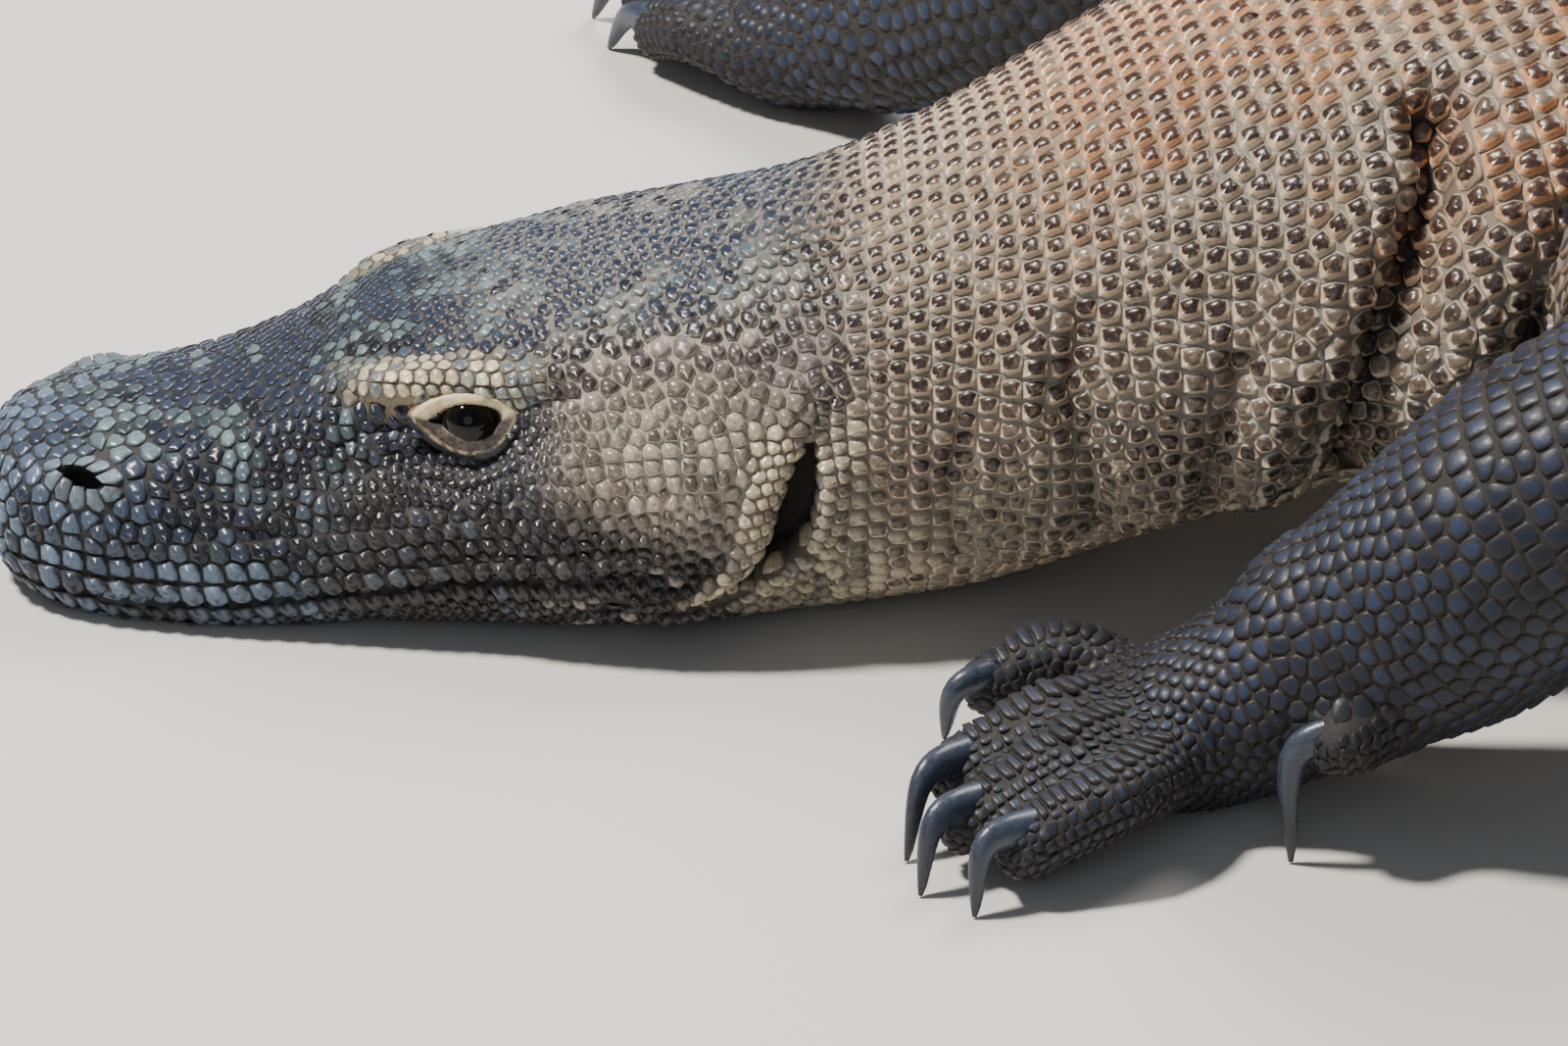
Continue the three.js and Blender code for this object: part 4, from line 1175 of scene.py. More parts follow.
def eyelids(label, hand):
    centre, out, rear, up, level = eye_frame(hand)
    lid = bmesh.new()
    above = lid.verts.layers.float.new("above")
    rim = lid.verts.layers.float.new("rim")
    opening, outside = closed_curve(OPENING, LID_SIDES), closed_curve(LID_END, LID_SIDES)
    sin = np.sin(np.linspace(0, 2 * math.pi, LID_SIDES, endpoint=False))
    far_edge = centre + np.outer(outside[:, 0], rear) + np.outer(outside[:, 1], up) + out * level
    far_edge = (on_skin(far_edge)[0] - centre) @ out - 0.5
    thick_lid = 0.10 + 1.15 * ramp(sin, -0.30, 0.35)
    deep = np.sqrt(np.clip(EYE_RADIUS**2 - (opening**2).sum(1), 22.0, None)) + 0.25
    rings = []
    for t, lift, _ in LID_SECTION:
        flat = opening + (outside - opening) * t
        share = min(max((t - 0.05) / 0.95, 0), 1)
        height = deep * (1 - share) + far_edge * share + lift * np.where(lift > 0, thick_lid, 1.0)
        ring = centre + np.outer(flat[:, 0], rear) + np.outer(flat[:, 1], up) + np.outer(height, out)
        rings.append(ring / 1000)
    grown = loft(lid, rings, closed=False)
    bmesh.ops.recalc_face_normals(lid, faces=lid.faces)
    if sum((f.normal @ Vector(out)) for f in lid.faces) < 0:
        bmesh.ops.reverse_faces(lid, faces=lid.faces)
    for ring_loop, (_, _, kind) in zip(grown, LID_SECTION):
        for vert, s in zip(ring_loop, sin):
            vert[above] = 0.5 + 0.5 * float(s)
            vert[rim] = kind
    return mesh_object(f"eyelids_{label}", lid)


eyes, lids = zip(*[(eyeball(*side), eyelids(*side)) for side in (("left", 1), ("right", -1))])
print(len(lids), "rings of eyelid, each of", len(lids[0].data.polygons), "faces")

# %% [markdown]
# ## Claws
# Each claw is a curved cone of horn. It starts inside the digit's tip, rises over the arch and comes down
# to a fine, blunt point; a claw deeper than wide is stronger against bending, so its section is a tall
# oval.

# %% Twenty claws
CLAW_LENGTH = 34  # mm, over which the paint changes from root to point
oval = np.linspace(0, 2 * math.pi, 18, endpoint=False)
claws = []
for leg, parts in LEGS.items():
    for number, digit in enumerate(parts["digits"], 1):
        knuckle, tip, arch, point = [np.array(p, float) for p in digit[1:]]
        root = tip + (knuckle - tip) * 0.2 + [0, 0, 3]
        path = curve_through([root, arch, point])
        across = np.cross(arch - root, point - arch)  # a claw curves in one plane, and this is square to it
        across /= np.linalg.norm(across)
        horn = bmesh.new()
        along_horn = horn.verts.layers.float.new("toward_point")
        rings = []
        for t in np.linspace(0, 1, 17):
            middle = path(t)[0] + SNOUT
            ahead = path(min(t + 0.02, 1))[0] - path(max(t - 0.02, 0))[0]
            over = np.cross(across, ahead / np.linalg.norm(ahead))
            thick = 4.4 * (1 - t) ** 0.72 + 0.55
            wide, tall = np.cos(oval) * thick * 0.92, np.sin(oval) * thick * 1.22
            ring = middle + np.outer(wide, across) + np.outer(tall, over)
            ring[:, 2] = np.maximum(ring[:, 2], 0.15)
            rings.append(ring / 1000)
        loft(horn, rings)
        bmesh.ops.recalc_face_normals(horn, faces=horn.faces)
        for vert in horn.verts:
            from_root = (Vector((root + SNOUT) / 1000) - vert.co).length * 1000
            vert[along_horn] = min(1, from_root / CLAW_LENGTH)
        claws.append((mesh_object(f"horn_{leg}_{number}", horn), f"claw_{leg}_{number}"))
print(len(claws), "claws")

# %% [markdown]
# ## Where the scales grow
# Scales lie in rows on the lips, brow, ear rim and folds, and in rings round the neck, trunk, tail and
# limbs. Between those, on the face and at the joints, they crowd in as they can. So the rows are laid
# first, the rings next, and then random places are tried wherever there is still room. The eye, the
# nostril, the ear's opening, the lips' gap and the fold under the brow stay bare.

# %% Places kept bare of scales
ear_open = (np.abs(along - EAR_LINE(around)) < EAR_WIDTH(around)) & (EAR_WIDTH(around) > 0.3)
step = girth_step(along)
eye_open = np.hypot((along - EYE[0] + 0.8) / 12.6, (around - EYE[1] - 0.4) * step / 8.6) < 1
nose_drop = (along - NOSTRIL[0]) * 0.35
nose_open = np.hypot((along - NOSTRIL[0]) / 6.5, (around - NOSTRIL[1] - nose_drop) * step / 4.9) < 1
lip_gap = (np.abs(points[:, 2] - MOUTH(along)) < 1.1) & (along < MOUTH_END - 2) & (around > 60)
under_brow = (np.abs(around - BROW(along) - 6.6) * step < 1.5) & (along > 103) & (along < 126)
bare = (ear_open | under_brow | nose_open | eye_open | lip_gap) & (region == 0) & (along < 300)
print("vertices that stay bare:", int(bare.sum()))

# %% [markdown]
# ## Planting a scale, and a row of scales
# A planted scale is a place on the skin with a direction, a half width and a half length. A row follows a
# line drawn on the body: its steps are counted along the curved skin, so that its scales touch whatever the
# bend.

# %% Plant and row
seeds = []


def plant(places, ways, across, length, fixed, high=1.0, near=4.0, wanted=None):
    """Plants scales: each needs bare room on the skin, a direction, a half width and a half length."""
    spots, hit = on_skin(places)
    good = np.linalg.norm(spots - places, axis=1) < near
    good &= from_skin(bare.astype(float), hit) < 0.34
    if wanted is not None:
        good &= (region[first[hit]] == wanted).any(1)
    n = len(places)
    numbers = [np.broadcast_to(np.asarray(v, float), n)[good] for v in (across, length, fixed, high)]
    seeds.append((spots[good], hit[good], np.broadcast_to(ways, (n, 3))[good], *numbers))
    return int(good.sum())


def running(steps):
    """How far one has come after each step."""
    return np.concatenate([[0], np.cumsum(steps)])


def row(line, steps, widths, hand, high=1.0):
    """A row of scales along a line of (along, down). Steps and widths are in mm at its front and rear."""
    line = np.asarray(line, float)
    reach = running(np.hypot(np.diff(line[:, 0]), np.diff(line[:, 1]) * girth_step(line[1:, 0])))
    fine = np.linspace(0, reach[-1], 240)
    path = body_surface(law(reach, line[:, 0])(fine), law(reach, line[:, 1])(fine) * hand)
    run = running(np.linalg.norm(np.diff(path, axis=0), axis=1))
    local = np.interp(run / run[-1], [0, 1], steps)
    counted = running(np.diff(run) / (0.5 * (local[1:] + local[:-1])))
    count = max(2, round(counted[-1]))
    stations = np.interp((np.arange(count) + 0.5) / count * counted[-1], counted, run)
    places, later, sooner = [
        np.stack([np.interp(stations + shift, run, path[:, k]) for k in range(3)], -1)
        for shift in (0, 1.0, -1.0)
    ]
    ways = (later - sooner) / np.maximum(np.linalg.norm(later - sooner, axis=1), 1e-3)[:, None]
    across, length = [np.interp(stations / run[-1], [0, 1], ends) / 2 for ends in (widths, steps)]
    return plant(places, ways, across, length, 1.0, high)


print("the mouth begins", MOUTH(0.0).round(1), "mm over the floor")

# %% [markdown]
# ## Rows on the face
# Along both lips run rows of large oblong scales, with finer rows above them. Small ones line the brow, the
# lids, the nostril and the ear. Each row here is a few numbers: where it runs, and the steps and widths of
# its scales in millimetres, at its front end and at its rear end.

# %% Rows of scales on the face
def lip_line(lift, start, end):
    """Where the side of the head is as high as the mouth line plus lift."""
    down = np.linspace(70, 175, 400)
    line = []
    for s in np.linspace(start, end, 60):
        height = body_surface(s, down, folds=False)[:, 2]
        below = np.nonzero(height < MOUTH(s) + lift)[0]
        if len(below):
            line.append((s, down[below[0]]))
    return line


face_rows = []  # line, steps, widths, height
for lift, steps, widths in (
    (4.3, (7.4, 5.4), (6.4, 4.8)),
    (10.4, (7.0, 5.0), (5.8, 4.4)),
    (16.0, (6.2, 4.6), (5.2, 4.2)),
    (-3.6, (6.8, 5.6), (4.8, 4.4)),
):
    start = 2.5 if abs(lift) < 5 else 4 + lift * 0.3
    face_rows.append((lip_line(lift, start, 184), steps, widths, 0.85))
for lift, start in ((21.0, 92), (25.6, 150), (30.2, 156), (34.8, 160)):
    face_rows.append((lip_line(lift, start, 201), (5.6, 4.6), (4.6, 4.2), 1.0))
s = np.linspace(99, 156, 24)
for shift, steps, widths in (
    (3.2, (4.0, 3.7), (2.8, 2.6)),
    (0.0, (4.3, 3.9), (3.3, 3.2)),
    (-3.6, (4.5, 4.2), (3.7, 3.6)),
):
    face_rows.append((np.stack([s, BROW(s) + shift], -1), steps, widths, 0.62))
for scale, start, end in ((1.52, 5, 175), (1.82, -12, 185), (2.14, -22, 192), (2.50, -30, 200)):
    a = np.radians(np.linspace(start, end, 50))
    line = np.stack([EYE[0] - 0.8 + 9.0 * scale * np.cos(a), EYE[1] + 6.4 * scale * np.sin(a)], -1)
    face_rows.append((line, (3.0, 3.3), (2.9, 2.9), 1.0))
a = np.linspace(0, 2 * math.pi, 48)
ring = [NOSTRIL[0] + 8.9 * np.cos(a), NOSTRIL[1] + 11.4 * np.sin(a) + 3.1 * np.cos(a)]
face_rows.append((np.stack(ring, -1), (5.2, 5.2), (5.0, 5.0), 0.7))
d = np.linspace(73, 107, 34)
for shift, steps, widths in (
    (-2.0, (4.4, 4.8), (2.6, 2.8)),
    (-4.9, (4.4, 4.8), (3.0, 3.2)),
    (-8.2, (4.4, 4.6), (3.6, 3.8)),
):
    face_rows.append((np.stack([EAR_LINE(d) - EAR_WIDTH(d) + shift, d], -1), steps, widths, 0.8))
d = np.linspace(66, 100, 34)
for shift in (2.4, 6.2):
    face_rows.append((np.stack([EAR_LINE(d) + EAR_WIDTH(d) + shift, d], -1), (4.2, 4.2), (3.8, 3.8), 0.9))
folds_below = [(203, 103), (194, 107), (180, 109), (166, 110)]
face_rows.append((folds_below, (4.8, 5.2), (3.4, 3.6), 0.8))
folds_below = [(223, 104), (214, 109), (203, 115), (188, 118), (170, 118)]
face_rows.append((folds_below, (4.6, 5.0), (3.8, 4.0), 0.9))
planted = [row(*given[:3], hand, given[3]) for hand in (1, -1) for given in face_rows]
print(sum(planted), "scales in", len(planted), "rows on the face")

# %% [markdown]
# ## Rings round the body
# From the neck to the tail's tip the scales stand in rings, each shifted by half a scale against the last,
# like bricks. A scale's place in its ring and along the body wavers a little, because nothing grows quite
# evenly.

# %% Rings round the neck, trunk and tail
s, ring_number = 238.0, 0
while s < LENGTH - 6:
    down_fine = np.linspace(-180, 180, 361)
    ring = body_surface(s, down_fine, folds=False)
    size = scale_size(np.full(361, s), np.abs(down_fine))
    run = running(np.linalg.norm(np.diff(ring, axis=0), axis=1) / (0.5 * (size[1:] + size[:-1])))
    count = max(6, round(run[-1]))
    stations = (np.arange(count) + 0.5 * (ring_number % 2) + 0.25) / count * run[-1] % run[-1]
    size_here = np.interp(stations, run, size)
    waver = chance.normal(0, 0.07, count) * size_here / girth_step(s)
    down_here = np.interp(stations, run, down_fine) + waver
    along_here = s + chance.normal(0, 0.08, count) * size_here
    _, _, q = spine(s)
    grow = np.array([math.sin(q), math.cos(q), 0])
    plant(body_surface(along_here, down_here), grow, size_here / 2, size_here / 2, 0.3, 1.0, 7.0, 0)
    s += float(PITCH(s)) * 0.88
    ring_number += 1
print(ring_number, "rings round the body")

# %% [markdown]
# ## Rings round the limbs, plates on the digits
# The limbs have rings too. Digits wear a row of broad plates on top and narrow ones down their sides, so
# their angles and widths are lists instead of equal shares.

# %% Rings round the limbs and digits
DIGIT_ROUND = np.array([90, 139, 41, 163, 17, 187, -7, 211, -31, 235, -55, 270])
DIGIT_WIDE = np.array([70, 24, 24] + [22] * 9)
for number, tube in enumerate(TUBES, 1):
    digit, foot = "digit" in tube["name"], "foot" in tube["name"]
    path = tube["at"](np.linspace(0, 1, 60))
    length = np.linalg.norm(np.diff(path, axis=0), axis=1).sum()
    mine = region == number
    size = float(np.median(pitch[mine])) if mine.any() else 6.0
    long = size * (1.12 if digit else 0.74 if foot else 0.86)
    rows = max(3, round(length / long))
    for k in range(rows):
        t = (k + 0.5) / rows
        girth = 2 * math.pi * (float(tube["thick"](t)) - COAT) * (0.5 + 0.5 * float(tube["flat"](t)))
        if digit and t < 0.22:
            continue
        if digit:
            turns, wide, hold = DIGIT_ROUND, DIGIT_WIDE / 360 * girth, 1.0
        else:
            count = max(6, round(girth / (size * (1.25 if foot else 1.02))))
            turns = (np.arange(count) + 0.5 * (k % 2)) / count * 360 + chance.normal(0, 1.0, count)
            wide, hold = np.full(count, girth / count), 0.5
        spots, ahead = tube_surface(tube, np.full(len(turns), t), turns)
        plant(spots, ahead, wide / 2, long / 2, hold, 0.9, 3.5, number)
print(sum(len(seed[0]) for seed in seeds), "places so far")

# %% [markdown]
# ## Who has room
# Where rows, rings and limbs meet, some places lie too close together, and the first to come keeps its
# place. Then random places are tried all over, more often where scales are small, and those with room stay.

# %% Keep those with room, and fill the gaps
def tree_of(places):
    tree = KDTree(len(places))
    for i, place in enumerate(places):
        tree.insert(place, i)
    tree.balance()
    return tree


def with_room(places, sizes, keep_share, settled=None, settled_sizes=None):
    """Which places, taken in order, have room among those already settled."""
    fine = np.ones(len(places), bool)
    if settled is not None:
        tree = tree_of(settled)
        for i, place in enumerate(places):
            _, j, gap = tree.find(place)
            fine[i] = gap > keep_share * 0.5 * (sizes[i] + settled_sizes[j])
    tree = tree_of(places)
    for i, place in enumerate(places):
        if fine[i]:
            for _, j, gap in tree.find_range(place, keep_share * sizes[i]):
                if j > i and gap < keep_share * 0.5 * (sizes[i] + sizes[j]):
                    fine[j] = False
    return fine


scales = [np.concatenate(column) for column in zip(*seeds)]  # place, hit, way, across, length, fixed, high
kept = with_room(scales[0], 2 * np.minimum(scales[3], scales[4]), 0.76)
scales = [column[kept] for column in scales]
print(len(scales[0]), "of the places in rows and rings have room")

corners = points[first]
areas = 0.5 * np.linalg.norm(np.cross(corners[:, 1] - corners[:, 0], corners[:, 2] - corners[:, 0]), axis=1)
areas *= np.array([len(f) - 2 for f in faces])
every_face = np.arange(len(faces))
size_at = from_skin(pitch, every_face)
usable = from_skin(bare.astype(float), every_face) < 0.1
on_digit = np.array([0] + ["digit" in tube["name"] for tube in TUBES], bool)[region]
on_top = on_digit & (np.abs(turned - 90) < 36) & (skin_share > 0.26) & (skin_gap < 2.6)
usable &= from_skin(on_top.astype(float), every_face) < 0.4
odds = areas / size_at**2 * usable
for turn_number in range(7):
    pick = chance.choice(len(faces), 26000, p=odds / odds.sum())
    weights = chance.dirichlet((1, 1, 1), len(pick))
    tried = (corners[pick] * weights[:, :, None]).sum(1)
    sizes = size_at[pick]
    own_size = 2 * np.sqrt(scales[3] * scales[4])
    room = with_room(tried, sizes, 0.78 if turn_number < 3 else 0.70, scales[0], own_size)
    half_size, more = sizes[room] / 2, int(room.sum())
    added = (tried[room], pick[room], from_skin(rearward, pick[room]), half_size, half_size)
    scales = [np.concatenate(pair) for pair in zip(scales, (*added, np.zeros(more), np.ones(more)))]
place, hit, way, across, length, fixed, high = scales
print(len(place), "scales have room")

# %% [markdown]
# ## They push each other apart
# Growing scales press on one another until the room is shared out. So each one looks at its seven nearest
# neighbours and moves a little away from those that are too close. Rows on the face hold fast.

# %% Settling
def neighbours(places, count):
    tree = tree_of(places)
    near = np.empty((len(places), count), int)
    for i, p in enumerate(places):
        near[i] = [j for _, j, _ in tree.find_n(p, count + 1) if j != i][:count]
    return near


for _ in range(4):
    near = neighbours(place, 7)
    size = 2 * np.sqrt(across * length)
    apart = place[:, None] - place[near]
    gap = np.linalg.norm(apart, axis=2)
    wish = 0.5 * (size[:, None] + size[near]) * 1.03
    push = (np.clip(wish - gap, 0, None) / np.maximum(gap, 0.1))[:, :, None] * apart
    moved = place + 0.42 * push.sum(1) * (1 - fixed)[:, None]
    place, hit = on_skin(moved)
near = neighbours(place, 9)
gaps = np.linalg.norm(place[:, None] - place[near[:, :6]], axis=2)
print("after settling, the mean gap is", round(float(gaps.mean()), 2), "mm")

# %% [markdown]
# ## The shape of a scale
# A scale fills the room that its neighbours leave: its outline is the border halfway to each of them,
# rounded off. On the face the outlines are nearly flat-sided, and on the neck and trunk rounder.

# %% Outlines from the neighbours
normal = from_skin(normals, hit)
normal /= np.linalg.norm(normal, axis=1)[:, None]
way = way - (way * normal).sum(1)[:, None] * normal
lost = np.linalg.norm(way, axis=1) < 0.05
way[lost] = np.cross(normal[lost], [0.3, 0.2, 0.9])
way /= np.linalg.norm(way, axis=1)[:, None]
side_way = np.cross(way, normal)
size_of = np.sqrt(across * length)


def outlines(some, sides, roundness):
    """Reach of each scale in mm in a number of directions."""
    there = place[near[some]] - place[some][:, None]
    far = np.linalg.norm(there, axis=2)
    flat = np.stack([(there * side_way[some][:, None]).sum(2), (there * way[some][:, None]).sum(2)], -1)
    flat *= (far / np.maximum(np.linalg.norm(flat, axis=2), 1e-6))[:, :, None]
    share = size_of[some][:, None] / (size_of[some][:, None] + size_of[near[some]])
    angle = (np.arange(sides) + 0.5) / sides * 2 * math.pi
    ray = np.stack([np.cos(angle), np.sin(angle)], -1)
    facing = flat @ ray.T
    halfway = far[:, :, None] ** 2 * share[:, :, None] / np.maximum(facing, 1e-6)
    border = np.where(facing > 0.12 * far[:, :, None], halfway, 99).min(1)
    wide, long = np.abs(ray[:, 0] / across[some][:, None]), np.abs(ray[:, 1] / length[some][:, None])
    limit = (wide**3 + long**3) ** (-1 / 3) * roundness[some][:, None]
    return (border**-10.0 + limit**-10.0) ** (-1 / 10.0), ray


print("a scale is", round(float(2 * size_of.mean()), 2), "mm across on average")

# %% [markdown]
# ## Height, tilt, colour and a place on the bake map
# Domes are low and flat on the snout, high on the neck and low again under the belly. The bake map is the
# skin unrolled: the body is one strip, from the snout's tip at the bottom to the tail's tip at the top, and
# each length of limb has a cell beside it. A scale's patch lies where its root lies.

# %% What each scale is like
scale_region = region[first[hit, 0]]
scale_along, scale_down = body_place(place)
scale_share = from_skin(skin_share, hit)
scale_turned = turned[first[hit, 0]] % 360
on_body = scale_region == 0
cell = np.maximum(scale_region - 1, 0)
cell_u = 0.635 + (cell % 8) * 0.045 + scale_turned / 360 * 0.038
cell_v = 0.01 + (cell // 8) * 0.245 + scale_share * 0.235
map_u = np.where(on_body, 0.31 + scale_down / 600, cell_u)
map_v = np.where(on_body, 0.01 + 0.98 * scale_along / LENGTH, cell_v)
map_place = np.stack([map_u, map_v], -1)
face = on_body * ramp(scale_along, 262, 210)
snout = face * ramp(scale_along, 150, 110)
roundness = 1.45 + 0.30 * face + 0.25 * snout
spacing = np.where(on_body, 0.12, 0.14)
height = 0.62 * size_of * high
height *= np.where(on_body, 1 - 0.32 * snout, 0.48)
kinds = ["body"] + [tube["name"].split("_")[2] for tube in TUBES]
on_foot = np.isin(np.array(kinds)[scale_region], ("foot", "digit"))
height = np.where(on_foot, height * 1.25, height)
height *= 1 - 0.35 * ramp(np.abs(scale_down), 112, 150) * on_body
tilt = np.where(on_body, 0.06, 0.16) + 0.10 * on_foot
tone = chance.random(len(place))
marks = markings(place, scale_along, scale_down, scale_region, tone, from_skin(limb_dark_and_shade, hit))
print("domes rise from", round(float(height.min()), 2), "to", round(float(height.max()), 2), "mm")

# %% [markdown]
# ## A small dome
# A scale's form is a few rings that grow inward from a foot sunk in the skin to the crown, steep at the
# side and flat on top. The neck's scales are beads that stand on a low base. One dome of each form is
# modelled, and the next step copies it.

# %% Domes of few faces
def dome(sides, rings):
    """A modelled dome: rings of (reach, rise) from its sunk foot to its crown."""
    shape = bmesh.new()
    loop = bmesh.ops.create_circle(shape, segments=sides, radius=rings[0][0])["verts"]
    bmesh.ops.translate(shape, verts=loop, vec=(0, 0, rings[0][1]))
    edges = list(dict.fromkeys(e for v in loop for e in v.link_edges))
    for inner, (reach, rise) in zip(rings, rings[1:-1]):
        made = bmesh.ops.extrude_edge_only(shape, edges=edges)["geom"]
        verts = [g for g in made if isinstance(g, bmesh.types.BMVert)]
        edges = [g for g in made if isinstance(g, bmesh.types.BMEdge)]
        bmesh.ops.scale(shape, vec=(reach / inner[0], reach / inner[0], 1), verts=verts)
        bmesh.ops.translate(shape, verts=verts, vec=(0, 0, rise - inner[1]))
    cap = bmesh.ops.edgeloop_fill(shape, edges=edges)["faces"]
    crown_vert = bmesh.ops.poke(shape, faces=cap)["verts"]
    for vert in crown_vert:
        vert.co.z = rings[-1][1]
    bmesh.ops.recalc_face_normals(shape, faces=shape.faces)
    if sum(f.normal.z for f in shape.faces) < 0:
        bmesh.ops.reverse_faces(shape, faces=shape.faces)
    shape.verts.ensure_lookup_table()
    form = np.array([v.co for v in shape.verts])
    polys = [[v.index for v in f.verts] for f in shape.faces]
    shape.free()
    return form, polys


BEAD = (10, [(1.0, -0.32), (0.95, 0.30), (0.78, 0.70), (0.44, 0.94), (0.0, 1.0)])
BEAD_ON_BASE = (10, [(1.0, -0.32), (0.97, 0.11), (0.90, 0.19), (0.80, 0.60), (0.48, 0.92), (0.0, 1.0)])
PLATE = (12, [(1.0, -0.40), (0.93, 0.45), (0.70, 0.88), (0.0, 1.0)])
PLAIN = (8, [(1.0, -0.32), (0.80, 0.26), (0.58, 0.78), (0.0, 1.0)])
for kind in (BEAD, BEAD_ON_BASE, PLATE, PLAIN):
    print("a dome of", kind[0], "sides has", sum(len(p) - 2 for p in dome(*kind)[1]), "triangles")

# %% [markdown]
# ## Copies of the dome, joined
# Nearly thirty thousand objects would choke any scene, so each stretch of the coat is one mesh. An array
# holds every copy of the dome's vertices, pulled out to its scale's outline, raised to its height, leant
# rearward and set on the skin. Each copy carries its colours and its small patch on the bake map.

# %% A stretch of the coat as one mesh
LEAN = 0.08  # how far a crown leans rearward, as a share of the scale's size
PATCH = 0.0015  # half the width of a scale's patch on the bake map


def stand(some, form, sides):
    """Vertices in mm of a dome's copies, and how far toward the back each vertex lies on its scale."""
    reach, ray = outlines(some, sides, roundness)
    radius = np.hypot(form[:, 0], form[:, 1])
    turn_of = np.degrees(np.arctan2(form[:, 1], form[:, 0])) % 360 / (360 / sides)
    turn_of = np.round(turn_of).astype(int) % sides
    spread = np.maximum(reach - spacing[some][:, None], 0.4)[:, turn_of] * radius[None]
    x = spread * ray[turn_of, 0]
    y = spread * ray[turn_of, 1] + LEAN * (1 - radius) * size_of[some][:, None]
    rise = form[:, 2][None] * height[some][:, None] + tilt[some][:, None] * y * (form[:, 2] > 0)
    verts = place[some][:, None] + x[:, :, None] * side_way[some][:, None]
    verts = verts + y[:, :, None] * way[some][:, None] + rise[:, :, None] * normal[some][:, None]
    verts[:, :, 2] = np.maximum(verts[:, :, 2], 0.05)
    upright = np.array([0, 0, 1.0]) - normal[some] * normal[some][:, 2:]
    dorsal = np.stack([(upright * side_way[some]).sum(1), (upright * way[some]).sum(1)], -1)
    return verts, (ray[turn_of][None] * dorsal[:, None]).sum(2) * radius[None]


def put_away(piece, material, replaced=()):
    """What every finished piece needs: its body, its material, the CAD nodes it stands for."""
    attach(piece, "root")
    for node in replaced:
        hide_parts(node)
    piece.data.materials.clear()
    piece.data.materials.append(material)
    piece.data.shade_smooth()


def coat_piece(name, some, detail, slot):
    """Joins scales into one mesh, with their colours and their patches on the bake map."""
    form, polys = dome(*detail)
    verts, toward_back = stand(some, form, detail[0])
    n, m = len(some), len(form)
    sizes = np.array([len(p) for p in polys])
    corner = np.concatenate([np.array(p) for p in polys])
    loops = (corner[None] + (np.arange(n) * m)[:, None]).ravel()
    totals = np.tile(sizes, n)
    mesh = bpy.data.meshes.new(name)
    mesh.vertices.add(n * m)
    mesh.loops.add(len(loops))
    mesh.polygons.add(len(totals))
    mesh.vertices.foreach_set("co", (verts / 1000).astype(np.float32).ravel())
    mesh.loops.foreach_set("vertex_index", loops.astype(np.int32))
    mesh.polygons.foreach_set("loop_start", running(totals)[:-1].astype(np.int32))
    mesh.update(calc_edges=True)
    for colour in ("crown_colour", "edge_colour", "between_colour"):
        keep_on(mesh, colour, np.repeat(marks[colour][some], m, axis=0))
    cover = marks["cover"][some][:, None] + 0.42 * toward_back * marks["shading"][some][:, None]
    keep_on(mesh, "cover", cover.ravel())
    keep_on(mesh, "mottle", np.repeat(marks["mottle"][some], m))
    keep_on(mesh, "rise", np.tile(np.clip(form[:, 2], 0, 1), n))
    keep_on(mesh, "inward", np.tile(1 - np.hypot(form[:, 0], form[:, 1]), n))
    uv = mesh.uv_layers.new(name="OFBake")
    flat = (map_place[some][:, None] + form[None, :, :2] * PATCH)[:, corner].reshape(-1, 2)
    uv.data.foreach_set("uv", flat.astype(np.float32).ravel())
    put_away(put_in_scene(name, mesh), leg_scale_matter if slot == "leg_skin" else scale_matter)
    triangles = n * int((sizes - 2).sum())
    print(name, n, "scales,", triangles, "triangles")
    return triangles


# %% [markdown]
# ## Finishes
# Materials here are painted with nodes. A few helpers keep that short: each makes one node and returns the
# socket that carries its result. Soft noise in the model's own coordinates gives specks, pits and dust, and
# a remap turns a stretch of its values into a mask.

# %% Help with nodes
def new_material(name):
    material = bpy.data.materials.new(name)
    material.use_nodes = True
    return material, material.node_tree, material.node_tree.nodes["Principled BSDF"]


def noise(tree, size, detail=3.0, rough=0.5):
    node = tree.nodes.new("ShaderNodeTexNoise")
    for label, value in (("Scale", size), ("Detail", detail), ("Roughness", rough)):
        node.inputs[label].default_value = value
    tree.links.new(tree.nodes.new("ShaderNodeTexCoord").outputs["Object"], node.inputs["Vector"])
    return node.outputs["Fac"]


def remap(tree, value, low, high, to_low=0.0, to_high=1.0):
    node = tree.nodes.new("ShaderNodeMapRange")
    node.interpolation_type = "SMOOTHSTEP"
    for label, number in (("From Min", low), ("From Max", high), ("To Min", to_low), ("To Max", to_high)):
        node.inputs[label].default_value = number
    tree.links.new(value, node.inputs["Value"])
    return node.outputs["Result"]


def set_socket(tree, socket, value):
    """Links a socket, or sets it to a number or a colour."""
    if isinstance(value, tuple):
        socket.default_value = (*value, 1)
    elif isinstance(value, (int, float)):
        socket.default_value = value
    else:
        tree.links.new(value, socket)


def calculate(tree, operation, a, b):
    node = tree.nodes.new("ShaderNodeMath")
    node.operation = operation
    set_socket(tree, node.inputs[0], a)
    set_socket(tree, node.inputs[1], b)
    return node.outputs[0]


def times(tree, a, b):
    return calculate(tree, "MULTIPLY", a, b)


def mix(tree, amount, a, b):
    node = tree.nodes.new("ShaderNodeMix")
    node.data_type = "RGBA"
    for number, value in ((0, amount), (6, a), (7, b)):
        set_socket(tree, node.inputs[number], value)
    return node.outputs[2]


def attribute(tree, name, output="Color"):
    node = tree.nodes.new("ShaderNodeAttribute")
    node.attribute_name = name
    return node.outputs[output]


